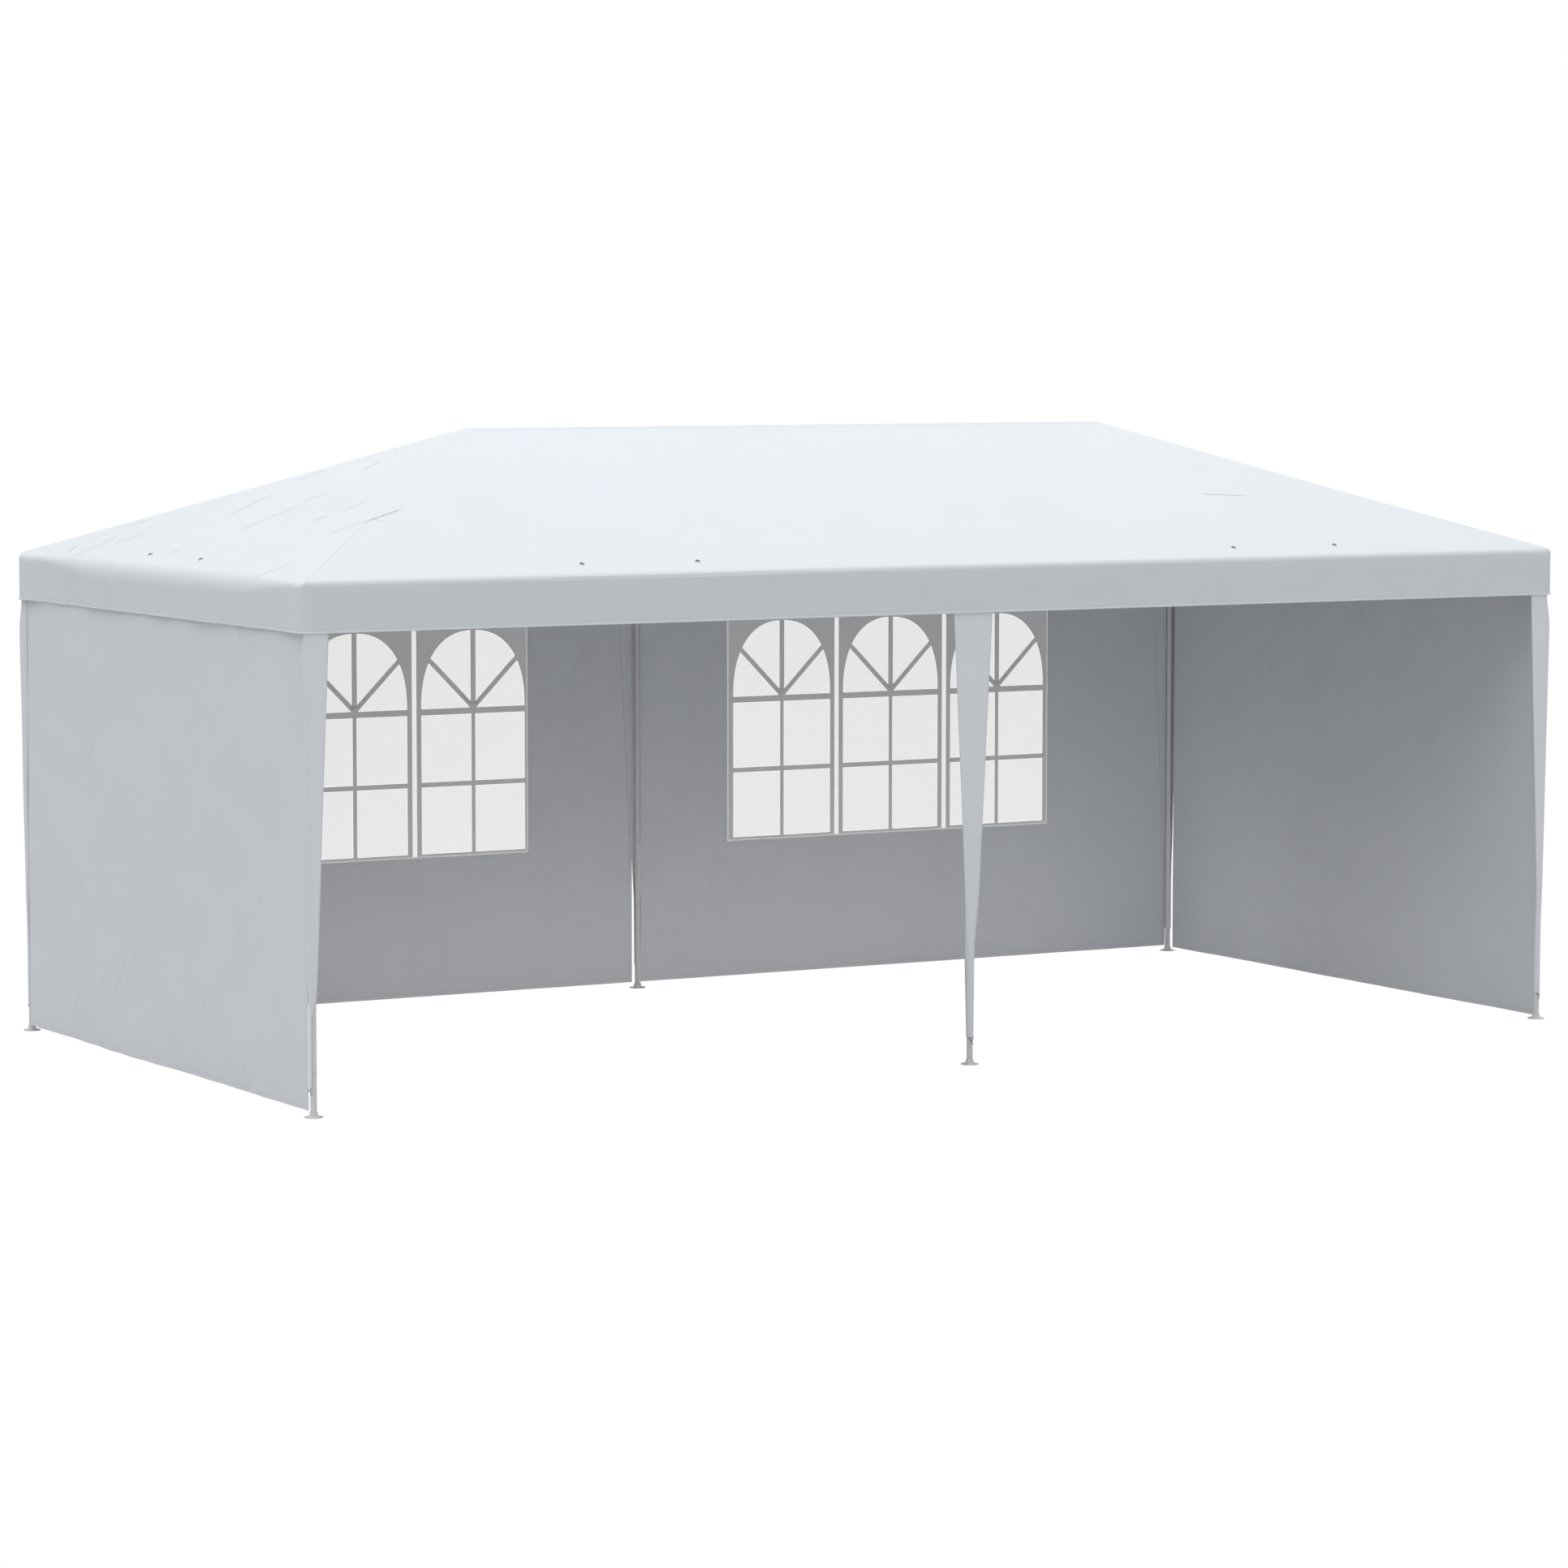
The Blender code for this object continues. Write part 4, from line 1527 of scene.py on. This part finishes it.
    def build(self, place: str, plane_y: float, finishes: Finishes) -> list[Piece]:
        """Make the film, the print on its inside and the milky panes between them.

        Args:
            place: Which back wall it is in.
            plane_y: Y of the wall's middle.
            finishes: The tent's materials.

        Returns:
            The film, the panes, the print and the weld round them.
        """
        left, right, lap = self.left, self.right, self.lap
        film_y, pane_y, print_y, weld_y = (plane_y - inside for inside in self.layers)
        u = grid_lines(-right - lap, -left + lap, 0.05)
        v = grid_lines(self.low - lap, self.high + lap, 0.05)[::-1]
        u, v = np.meshgrid(u, v)
        points = WallPlane((0.0, 1.0, 0.0), film_y).points(u, v, np.zeros_like(u))
        film = Cloth(f"window_film_sheet_{place}", points, as_points(u, v),
                     np.ones_like(u), thickness=self.film).build()
        dress(film, finishes["film"])
        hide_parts(f"window_film_{place}")
        outer = self.half + self.border
        printed, milky = [], []
        for k in (-1, 0, 1):
            centre = self.centre + k * self.pitch
            stop = min(centre + outer, right - self.weld)
            printed.append(rectangle(centre - outer, stop, self.low + self.weld, self.high))
            printed += self.panes(centre, 0.0)
            milky += self.panes(centre, self.shy)
        for k in (-0.5, 0.5):
            strip = self.centre + k * self.pitch
            gap = self.pitch / 2 - outer - self.shy
            milky.append(rectangle(strip - gap, strip + gap, self.low + self.weld, self.high))
        panes = flat_shape(f"window_panes_{place}", milky, pane_y, self.coat)
        dress(panes, finishes["pane"])
        ink = flat_shape(f"window_print_{place}", printed, print_y, self.coat)
        dress(ink, finishes["ink"])
        frame_lines = [rectangle(left - by, right + by, self.low - by, self.high + by)
                       for by in (0.0, -self.weld)]
        weld = flat_shape(f"window_weld_{place}", frame_lines, weld_y, 2 * self.coat)
        dress(weld, finishes["weld"])
        return [film, panes, ink, weld]


def rectangle(left: float, right: float, low: float, high: float) -> Array:
    """The four corners of a rectangle, anticlockwise."""
    return np.array([[left, low], [right, low], [right, high], [left, high]])


def flat_shape(name: str, outlines: Sequence[Array], y: float, thickness: float) -> Piece:
    """Make a thin upright shape from outlines, those inside others being holes.

    A flat curve is filled, made a mesh and then stood up: its Y becomes the height.

    Args:
        name: The piece's name.
        outlines: Points of each outline, across and up.
        y: Where the shape's middle stands.
        thickness: The shape's thickness.

    Returns:
        The new object, at the origin.
    """
    curve = bpy.data.curves.new(name, "CURVE")
    curve.dimensions = "2D"
    curve.fill_mode = "BOTH"
    curve.extrude = thickness / 2
    for outline in outlines:
        spline = curve.splines.new("POLY")
        spline.points.add(len(outline) - 1)
        ones = np.ones((len(outline), 1))
        spline.points.foreach_set("co", np.hstack((outline, 0 * ones, ones)).ravel())
        spline.use_cyclic_u = True
    holder = link_object(name + "_outline", curve)
    bpy.context.view_layer.update()
    graph = bpy.context.evaluated_depsgraph_get()
    mesh = bpy.data.meshes.new_from_object(holder.evaluated_get(graph))
    bpy.data.objects.remove(holder)
    bpy.data.curves.remove(curve)
    mesh.transform(Matrix.Translation((0, y, 0)) @ Matrix.Rotation(math.pi / 2, 4, "X"))
    clean_mesh(mesh, merge=1e-6, outwards=True)
    mesh.name = name
    return link_object(name, mesh)


@dataclass
class BackWall(SubPart):
    """A back wall sheet with an opening that its window group closes.

    Attributes:
        place: Its end of the tent.
        window: The window group in it.
        inner_gap: Distance of its edge beside the middle leg from that leg's axis.
        outer_gap: Distance of its edge beside the corner leg from that leg's axis.
        low: Height of its bottom edge.
        depth: How far its soft folds stand out.
    """

    place: End
    window: WindowGroup
    inner_gap: float = 0.022
    outer_gap: float = 0.022
    low: float = 0.025
    depth: float = 0.0022

    def build(self) -> Piece:
        """Make the wall round its opening, and the window group.

        Returns:
            The wall.
        """
        n = self.lines
        inner = n.middle_x + self.place.value * self.inner_gap
        outer = self.place.value * (n.half_x - self.outer_gap)
        left, right = sorted((inner, outer))
        w = self.window
        x = grid_lines(left, right, 0.026, hem_breaks(left, right, w.left, w.right))
        level_breaks = hem_breaks(self.low, n.eave_z, w.low, w.high)
        height = grid_lines(self.low, n.eave_z, 0.028, level_breaks)
        u, v = np.meshgrid(-x[::-1], height[::-1])
        x = -u
        inside = np.minimum(x - left, right - x)
        gap_x = -nearest(x - w.left, w.right - x, np.zeros_like(x))
        gap_z = -nearest(v - w.low, w.high - v, np.zeros_like(v))
        clear = np.hypot(gap_x, gap_z)
        edge = nearest(inside, v - self.low, n.eave_z - v, clear)
        free = ease(inside, 0.11, 0.40) * ease(n.eave_z - v, 0.2, 0.6)
        free = free * ease(clear, 0.0, 0.15)
        seed = 41 if self.place is End.LEFT else 55
        folds = ripple(u, v, 0.8, seed) * self.depth * free
        folds = folds + ripple(u, v, 0.26, seed + 3, 0.4) * 0.0009 * free
        middle_u, middle_v = cell_corners(x).mean(2), cell_corners(v).mean(2)
        keep = ~((middle_u > w.left) & (middle_u < w.right)
                 & (middle_v > w.low) & (middle_v < w.high))
        plane = WallPlane((0.0, 1.0, 0.0), n.half_y + n.wall_reach)
        cloth = Cloth(f"back_wall_sheet_{self.place.word}", plane.points(u, v, folds),
                      as_points(u, v), edge, keep)
        piece = dress(cloth.build(), self.finishes[f"back_{self.place.word}"])
        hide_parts(f"back_wall_{self.place.word}")
        film, *on_film = w.build(self.place.word, n.half_y + n.wall_reach, self.finishes)
        return piece


@dataclass
class LegCover(SubPart):
    """A leg's cover: broad under the eave, wrapped round the leg and tied below.

    Attributes:
        side: The long side that it is on.
        top: Height of its top edge.
        knee: Height down to which it narrows fast.
        low: Height of its bottom edge.
        low_half: Half its seen width at the bottom.
        knee_half: The same at the knee.
        top_half: The same at the top.
        tied_radius: Radius of the sheet round the leg where it is tied.
    """

    side: Side
    top: float = 1.995
    knee: float = COVER_KNEE
    low: float = 0.112
    low_half: float = 0.0145
    knee_half: float = COVER_KNEE_HALF
    top_half: float = COVER_TOP_HALF
    tied_radius: float = 0.0147

    def heights(self) -> Array:
        """The rows' heights, from the top down."""
        return grid_lines(self.low, self.top, 0.022, hem_breaks(self.low, self.top))[::-1]

    def spread(self, z: Array) -> Array:
        """0 up to the knee, and then evenly up to 1 at the cover's full width."""
        return np.clip((z - self.knee) / (COVER_TOP - self.knee), 0, 1)

    def half_width(self, z: Array) -> Array:
        """Half the width that shows, straight from bottom to knee and from knee to top."""
        below = np.clip((z - self.low) / (self.knee - self.low), 0, 1)
        return (self.low_half + (self.knee_half - self.low_half) * below
                + (self.top_half - self.knee_half) * self.spread(z))

    def tie_heights(self, share: Array, dip: float) -> Array:
        """Heights of the tie's points, with a dip of that depth in its middle."""
        return self.low + 0.001 - dip * (1 - np.abs(share)) ** 0.8

    def fasten(self, name: str, loop: Array, plane: WallPlane, centre: float,
               drop: float) -> list[Piece]:
        """Tie the cover's bottom together and hook the tie to the leg.

        Args:
            name: Which leg it is.
            loop: The tie's path.
            plane: An upright plane through the leg's axis, outside which the hook hangs.
            centre: Where the leg stands along it.
            drop: How far below the cover's bottom the hook starts.

        Returns:
            The tie and the hook.
        """
        tie = join_shapes(f"leg_tie_{name}", [tube(loop, CORD_RADIUS, 7)])
        wire = hook_shape(plane, centre, self.low - drop, self.tied_radius + 2 * CORD_RADIUS)
        hook = join_shapes(f"leg_hook_{name}", [wire])
        return [dress(tie, self.finishes["cord"]),
                dress(hook, self.finishes["hook"])]

    def declare(self, piece: Piece, end: str, z: Array, lengths: Array, ties: list[Piece]) -> None:
        """Take the sheet, its rows and its ties, and do nothing with them.

        Args:
            piece: The cover; not used.
            end: End of the eave tube that it hangs from; not used.
            z: The rows' heights; not used.
            lengths: The rows' lengths along the cloth; not used.
            ties: The small pieces that belong to it; not used.
        """


@dataclass
class MiddleCover(LegCover):
    """The cover of a middle leg.

    Attributes:
        wrap_from: Height at which it starts to wrap round the leg.
        wrap_to: Height at which it is fully wrapped.
        wrap_turn: How far round the leg each half reaches there, in radians.
    """

    wrap_from: float = 0.72
    wrap_to: float = 0.28
    wrap_turn: float = 2.5

    def build(self) -> Piece:
        """Make the cover: at each height an arc whose turn grows downwards.

        With k the curvature, a point at s along the cloth lies at sin(ks)/k across and
        (1 - cos(ks))/k behind the front. k is the sine of the turn over the seen half width.

        Returns:
            The cover.
        """
        n = self.lines
        z = self.heights()
        half = self.half_width(z)
        wrap = 1 - ease(z, self.wrap_to, self.wrap_from)
        turn = self.wrap_turn * wrap + 1e-3
        curve = np.sin(np.minimum(turn, math.pi / 2)) / half
        share = np.linspace(-1, 1, 29)[None, :]
        along = share * (turn / curve)[:, None]
        k = curve[:, None]
        across = np.sin(k * along) / k
        behind = (1 - np.cos(k * along)) / k
        reach = n.cover_reach + (self.tied_radius - n.cover_reach) * wrap[:, None]
        seed = 61 + self.side.value
        height = np.broadcast_to(z[:, None], across.shape)
        soft = ripple(across * 2, height, 0.45, seed, 0.6) * 0.0011 * (1 - wrap[:, None])
        soft = soft * ease(self.top - height, 0.0, 0.3)
        out = reach - behind + soft
        centre = n.middle_x * (1 if self.side is Side.FRONT else -1)
        plane = WallPlane((0.0, float(self.side.value), 0.0), n.half_y)
        edge = nearest((turn / curve)[:, None] - np.abs(along), height - self.low,
                       self.top - height)
        points = plane.points(across + centre, height, out)
        # Painted light: the whole sleeve gets the lighter tone.
        cloth = Cloth(f"leg_sleeve_{self.side.word}_middle", points,
                      as_points(along, height), edge, pale=np.ones_like(edge))
        piece = dress(cloth.build(), self.finishes["cover"])
        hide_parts(f"leg_cover_{self.side.word}_middle")
        self.declare(piece, "left", z, 2 * turn / curve, self.add_tie(plane, centre))
        return piece

    def add_tie(self, plane: WallPlane, centre: float) -> list[Piece]:
        """Draw the tie in an arc before the leg, between the cover's bottom corners.

        Args:
            plane: The cover's plane.
            centre: Where the leg stands along it.

        Returns:
            The tie and the hook.
        """
        share = np.linspace(-1, 1, 25)
        across = share * self.low_half * 0.98
        out = np.sqrt(np.maximum((self.tied_radius + 0.0012) ** 2 - across**2, 0)) + 0.0002
        loop = plane.points(centre + across, self.tie_heights(share, 0.015), out)
        return self.fasten(f"{self.side.word}_middle", loop, plane, centre, 0.014)


def hook_shape(plane: WallPlane, centre: float, top: float, out: float, bow: float = 0.0026,
               shank: float = 0.010, wire: float = 0.0009) -> tuple:
    """A small wire hook: a half turn, a straight shank and a half turn the other way.

    Args:
        plane: The upright plane that it lies along.
        centre: Where it hangs along the plane.
        top: Height of its upper bow.
        out: How far it stands outside the plane.
        bow: Radius of its bows.
        shank: How far its lower bow hangs under the upper one.
        wire: Radius of its wire.

    Returns:
        Its points and faces.
    """
    turn = np.linspace(-0.4, math.pi, 12)
    upper = as_points(-bow * np.cos(turn), bow * np.sin(turn))
    path = np.concatenate((upper + np.array([0.0, top]),
                           -upper[::-1] + np.array([2 * bow, top - shank])))
    flat = plane.points(centre - bow + path[:, 0], path[:, 1], np.full(len(path), out))
    return tube(flat, wire, 7)


@dataclass
class CornerCover(LegCover):
    """The cover of a corner leg, folded round the tent's corner.

    Attributes:
        end: The end that it is at.
        side_top: How far it runs along the long side at the top.
        end_top: The same along the end.
        side_low: How far it runs along the long side at the knee.
        end_low: The same along the end.
        slack: How far its end wing stands out at the top.
        tuck: Share of that taken back where the valance hangs over it.
        ease_in: How much its rounded corner is eased inwards.
        wrap_from: Height at which it starts to wrap round the leg.
        wrap_to: Height at which it is fully wrapped.
        front_turn: Heading that its first edge reaches round the leg, 0 being out of the end.
        low_turn: The same at the bottom.
        back_turn: Heading that its other edge reaches.
        hook_turn: Heading of the hook.
    """

    end: End = End.LEFT
    side_top: float = 0.086
    end_top: float = 0.060
    side_low: float = 0.0125
    end_low: float = 0.0125
    slack: float = 0.0206
    tuck: float = 0.55
    ease_in: float = 0.005
    wrap_from: float = 0.62
    wrap_to: float = 0.30
    front_turn: float = 3.285
    low_turn: float = 3.285
    back_turn: float = -1.715
    hook_turn: float = 1.57

    def build(self) -> Piece:
        """Make the cover: a wing, a rounded corner and a wing, which turn into an open ring.

        The upper section is an L with a squarish quarter round at its corner, of powers of sine
        and cosine that make it rounder under the valance. The lower one is part of a circle round
        the leg. A smooth share of the height mixes the two.

        Returns:
            The cover.
        """
        n = self.lines
        z = self.heights()[:, None]
        spread = self.spread(z)
        hidden = ease(z, n.valance_z - 0.14, n.valance_z + 0.01)
        slack = self.slack * spread * (1 - self.tuck * hidden)
        reach = n.cover_reach
        side_run = self.side_low + (self.side_top - self.side_low) * spread
        end_run = self.end_low + (self.end_top - self.end_low) * spread
        wing = np.linspace(0, 1, 13)[None, :-1]
        turn = np.linspace(math.pi / 2 - 1e-9, 0, 14)[None, :]
        flat_run = np.ones_like(z) * np.ones_like(wing)
        inward = wing + wing[0, 1]
        power = 0.5 + 0.35 * hidden
        lean = slack * (1 - inward**1.4) - 0.0012 * inward
        a = np.concatenate((-self.ease_in - (side_run - self.ease_in) * (1 - wing),
                            (reach + slack + self.ease_in) * np.cos(turn) ** power - self.ease_in,
                            reach * flat_run + lean), axis=1)
        b = np.concatenate((reach * flat_run,
                            (reach + self.ease_in) * np.sin(turn) ** power - self.ease_in,
                            -(self.ease_in + (end_run - self.ease_in) * inward)), axis=1)
        steps = np.hypot(np.diff(a), np.diff(b))
        along = np.concatenate((np.zeros_like(z), np.cumsum(steps, axis=1)), axis=1)
        whole = along[:, -1:]
        share = along / whole
        front = self.low_turn + (self.front_turn - self.low_turn) * ease(z, 0.36, 0.50)
        angle = front + (self.back_turn - front) * share
        ring_a = self.tied_radius * np.cos(angle)
        ring_b = self.tied_radius * np.sin(angle)
        wrap = 1 - ease(z, self.wrap_to, self.wrap_from)
        a = a + (ring_a - a) * wrap
        b = b + (ring_b - b) * wrap
        height = np.broadcast_to(z, a.shape)
        seed = 71 + 3 * self.end.value + self.side.value
        soft = ripple(share * 0.3, height, 0.5, seed, 0.8) * 0.0012 * (1 - wrap)
        soft = soft * ease(n.valance_z + 0.02 - height, 0.0, 0.35)
        a = a + soft * ease(share, 0.5, 0.8)
        b = b + soft * (1 - ease(share, 0.2, 0.5))
        points = self.out_from_leg(a, b, height)
        flat = as_points(along, height)
        edge = nearest(along, whole - along, height - self.low, self.top - height)
        # Painted light: the wing on the long side gets the lighter tone, which fades out over the
        # corner.
        fade = np.interp(np.arange(a.shape[1]), (wing.size, wing.size + turn.size), (1, 0))
        pale = np.broadcast_to(fade, a.shape)
        if self.side.value * self.end.value > 0:
            points, flat, edge, pale = [v[:, ::-1] for v in (points, flat, edge, pale)]
        name = f"{self.side.word}_{self.end.word}"
        cloth = Cloth(f"leg_sleeve_{name}", points, flat, edge, pale=pale)
        piece = dress(cloth.build(), self.finishes["cover"])
        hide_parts(f"leg_cover_{name}")
        turned = (front - self.back_turn)[:, 0] * self.tied_radius
        lengths = whole[:, 0] * (1 - wrap[:, 0]) + wrap[:, 0] * turned
        self.declare(piece, self.end.word, z[:, 0], lengths, self.add_tie(name))
        return piece

    def out_from_leg(self, a: Array, b: Array, height: Array) -> Array:
        """Points so far out of the tent from the leg's axis, along the length and the width."""
        n = self.lines
        return as_points(self.end.value * (n.half_x + a), self.side.value * (n.half_y + b),
                         height)

    def add_tie(self, name: str) -> list[Piece]:
        """Draw the tie round the leg, under the ring that the cover's bottom forms.

        Args:
            name: Which leg it is.

        Returns:
            The tie and the hook.
        """
        n = self.lines
        share = np.linspace(-1, 1, 33)
        middle, reach = (self.low_turn + self.back_turn) / 2, (self.low_turn - self.back_turn) / 2
        angle = middle + share * min(0.9 * reach, 1.5)
        radius = self.tied_radius + 0.0014
        loop = self.out_from_leg(radius * np.cos(angle), radius * np.sin(angle),
                                 self.tie_heights(share, 0.012))
        outward = np.array([self.end.value * math.cos(self.hook_turn),
                            self.side.value * math.sin(self.hook_turn), 0.0])
        leg = np.array([self.end.value * n.half_x, self.side.value * n.half_y, 0.0])
        plane = WallPlane(tuple(outward), float(outward @ leg))
        centre = float(np.cross(UP, outward) @ leg)
        return self.fasten(name, loop, plane, centre, 0.012)


@dataclass
class SteelFrame(SubPart):
    """The frame's own solids, which keep their shape and get their finish here.

    Attributes:
        button_z: Height of the spring buttons in the legs' joints.
        button: Radius of the buttons.
        button_out: Distance of their feet from the leg's axis, just inside its tube.
    """

    button_z: float = 0.66
    button: float = 0.0036
    button_out: float = 0.0105

    def build(self) -> None:
        """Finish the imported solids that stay, and add the legs' spring buttons.

        Args:
        """
        for name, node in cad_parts.items():
            if node.hide_render:
                continue
            finish = "plastic" if name.startswith("foot_") else "steel"
            node.data.materials.clear()
            node.data.materials.append(self.finishes[finish])
        self.add_buttons()

    def add_buttons(self) -> Piece:
        """Add a spring button to each leg's joint, facing into the tent.

        A button is a flattened half ball on a short stub: its radius follows the cosine of the
        rise, and its height the sine.

        Returns:
            The buttons.
        """
        n = self.lines
        rise = np.append(0.0, np.linspace(0.0, math.pi / 2 - 0.05, 7))
        around = np.linspace(0, math.tau, 14, endpoint=False)
        radius = self.button * np.cos(rise)[:, None]
        out = self.button_out + np.append(0.0, 0.0012 + 0.0026 * np.sin(rise[1:]))[:, None]
        index = np.arange(rise.size * around.size).reshape(rise.size, around.size)
        wrapped = np.concatenate((index, index[:, :1]), axis=1)
        faces = cell_corners(wrapped).reshape(-1, 4).tolist()
        faces += [index[0].tolist(), index[-1].tolist()]
        shapes = []
        for side in Side:
            for x in (-n.half_x, n.middle_x, n.half_x):
                ring_x = x + radius * np.cos(around)
                ring_z = self.button_z + radius * np.sin(around)
                ring_y = side.value * n.half_y - side.value * np.broadcast_to(out, ring_x.shape)
                shapes.append((as_points(ring_x, ring_y, ring_z).reshape(-1, 3), faces))
        return dress(join_shapes("leg_buttons", shapes), self.finishes["eyelet"])


WHITE = (1.0, 1.0, 1.0, 1.0)
BLACK = (0.0, 0.0, 0.0, 1.0)
OFF_FLOOR = (1.0, 0.965, 0.94)


@dataclass(frozen=True)
class Lamp:
    """A soft rectangular lamp that the camera doesn't see.

    Attributes:
        name: Its name.
        place: Where it hangs.
        target: The point that it faces.
        size: Its two sides.
        power: Its power in watts.
        colour: Its colour.
    """

    name: str
    place: tuple[float, float, float]
    target: tuple[float, float, float]
    size: tuple[float, float]
    power: float
    colour: tuple[float, float, float] = (1.0, 1.0, 1.0)

    def build(self) -> None:
        """Hang the lamp and turn it to its target."""
        data = bpy.data.lights.new(self.name, "AREA")
        data.shape = "RECTANGLE"
        data.size, data.size_y = self.size
        data.energy = self.power
        data.color = self.colour
        hung = bpy.data.objects.new(self.name, data)
        hung.location = self.place
        way = Vector(self.target) - Vector(self.place)
        hung.rotation_euler = way.to_track_quat("-Z", "Y").to_euler()
        hung.visible_camera = False
        bpy.context.scene.collection.objects.link(hung)


@dataclass
class Studio:
    """The camera, the soft light and the plain floor.

    Attributes:
        place: Where the camera stands.
        yaw: How far it is turned to the right of +Y.
        pitch: How far it looks down.
        roll: How far it is turned about its own axis.
        lens: Focal length on a 36 mm sensor.
        surround: Strength of the even light from all round.
        lamps: The large soft lamps, and the low ones that stand for light off a bright floor.
        floor_half: Half the floor's size.
        floor_z: Height of the floor.
        floor_tone: Its colour, a grey.
    """

    place: tuple[float, float, float] = (-11.238617, -19.612464, 3.015014)
    yaw: float = 0.5191
    pitch: float = 0.087398
    roll: float = 0.000302
    lens: float = 121.89
    surround: float = 0.406
    lamps: tuple[Lamp, ...] = (
        Lamp("overhead", (-1.0, 0.0, 9.5), (-1.0, 0.0, 0.0), (26.0, 18.0), 1393.0),
        Lamp("left", (-10.0, 0.0, 4.5), (0.0, 0.0, 1.5), (14.0, 8.0), 10.0),
        Lamp("back_near", (0.0, 0.95, 0.02), (0.0, 1.44, 0.02), (5.4, 0.03), 0.84, OFF_FLOOR),
        Lamp("back_far", (0.0, 0.3, 0.25), (0.0, 1.44, 0.25), (4.6, 0.03), 4.15, OFF_FLOOR),
        Lamp("right_near", (2.42, 0.0, 0.02), (2.91, 0.0, 0.02), (2.4, 0.03), 0.28, OFF_FLOOR),
        Lamp("right_far", (1.7, 0.0, 0.20), (2.91, 0.0, 0.20), (1.8, 0.03), 1.60, OFF_FLOOR),
        Lamp("left_near", (-2.42, 0.0, 0.02), (-2.91, 0.0, 0.02), (2.4, 0.03), 0.40, OFF_FLOOR),
        Lamp("left_out", (-3.4, 0.0, 0.02), (-2.92, 0.0, 0.02), (2.7, 0.03), 0.22, OFF_FLOOR),
    )
    floor_half: float = 60.0
    floor_z: float = -0.0005
    floor_tone: float = 0.74

    def build(self) -> None:
        """Make camera, light and floor."""
        self.add_camera()
        self.add_light()
        self.add_floor()
        bpy.context.scene.view_settings.view_transform = "Standard"

    def add_camera(self) -> None:
        """Set the camera from its view direction d, right r and up u, turned by the roll."""
        d = np.array([math.sin(self.yaw) * math.cos(self.pitch),
                      math.cos(self.yaw) * math.cos(self.pitch), -math.sin(self.pitch)])
        r = np.array([math.cos(self.yaw), -math.sin(self.yaw), 0.0])
        u = np.cross(r, d)
        right = math.cos(self.roll) * r + math.sin(self.roll) * u
        up = -math.sin(self.roll) * r + math.cos(self.roll) * u
        data = bpy.data.cameras.new("camera")
        data.sensor_width = 36.0
        data.lens = self.lens
        data.clip_end = 200.0
        camera = bpy.data.objects.new("camera", data)
        bpy.context.scene.collection.objects.link(camera)
        columns = np.stack((right, up, -d, np.array(self.place)), axis=1)
        camera.matrix_world = Matrix([*columns.tolist(), [0.0, 0.0, 0.0, 1.0]])
        bpy.context.scene.camera = camera

    def add_light(self) -> None:
        """Surround the tent with even light and hang the lamps."""
        world = bpy.data.worlds.new("studio")
        world.use_nodes = True
        t = Tree(world.node_tree)
        shader = world.node_tree.nodes["Background"]
        seen = t.node("ShaderNodeLightPath").outputs["Is Camera Ray"]
        strength = t.times_plus(seen, 1.0 - self.surround, self.surround)
        t.give(shader, Strength=strength, Color=WHITE)
        bpy.context.scene.world = world
        for lamp in self.lamps:
            lamp.build()

    def add_floor(self) -> None:
        """Lay the pale floor, which the camera sees as plain white."""
        far, z = self.floor_half, self.floor_z
        mesh = bpy.data.meshes.new("floor")
        mesh.from_pydata([(-far, -far, z), (far, -far, z), (far, far, z), (-far, far, z)], [],
                         [(0, 1, 2, 3)])
        floor = link_object("floor", mesh)
        material, t, shader = new_material("studio_floor")
        seen = t.node("ShaderNodeLightPath").outputs["Is Camera Ray"]
        tone = (self.floor_tone, self.floor_tone, self.floor_tone, 1.0)
        t.give(shader, Emission_Color=WHITE, Emission_Strength=seen,
               Base_Color=t.blend(seen, tone, BLACK), Specular_IOR_Level=0.0)
        mesh.materials.append(material)


def main() -> None:
    """Build the tent, piece by piece."""
    logging.basicConfig(level=logging.INFO, format="%(name)s %(message)s")
    tent = read_lines(), Finishes()
    LOG.info("lines %s", tent[0])
    RoofCover(*tent).build()
    EndWall(*tent, End.LEFT).build()
    EndWall(*tent, End.RIGHT, low=0.018, dip=0.007, depth=0.004).build()
    BackWall(*tent, End.LEFT, WindowGroup(-1.3752, end_border=0.0087), inner_gap=0.0215).build()
    BackWall(*tent, End.RIGHT, WindowGroup(1.3580), outer_gap=0.0075).build()
    MiddleCover(*tent, Side.FRONT).build()
    MiddleCover(*tent, Side.BACK, knee=0.56, wrap_turn=1.6, wrap_from=0.62, wrap_to=0.34).build()
    CornerCover(*tent, Side.FRONT, side_top=0.0765, side_low=0.008, wrap_from=0.56, wrap_to=0.40,
                front_turn=2.4, low_turn=0.85, back_turn=-1.05, hook_turn=0.5,
                tied_radius=0.0160).build()
    CornerCover(*tent, Side.FRONT, end=End.RIGHT, side_top=0.073, slack=0.031).build()
    for end in End:
        CornerCover(*tent, Side.BACK, front_turn=2.385, low_turn=2.385, back_turn=-0.815, end=end,
                    end_top=0.045).build()
    SteelFrame(*tent).build()
    Studio().build()


if __name__ == "__main__":
    main()
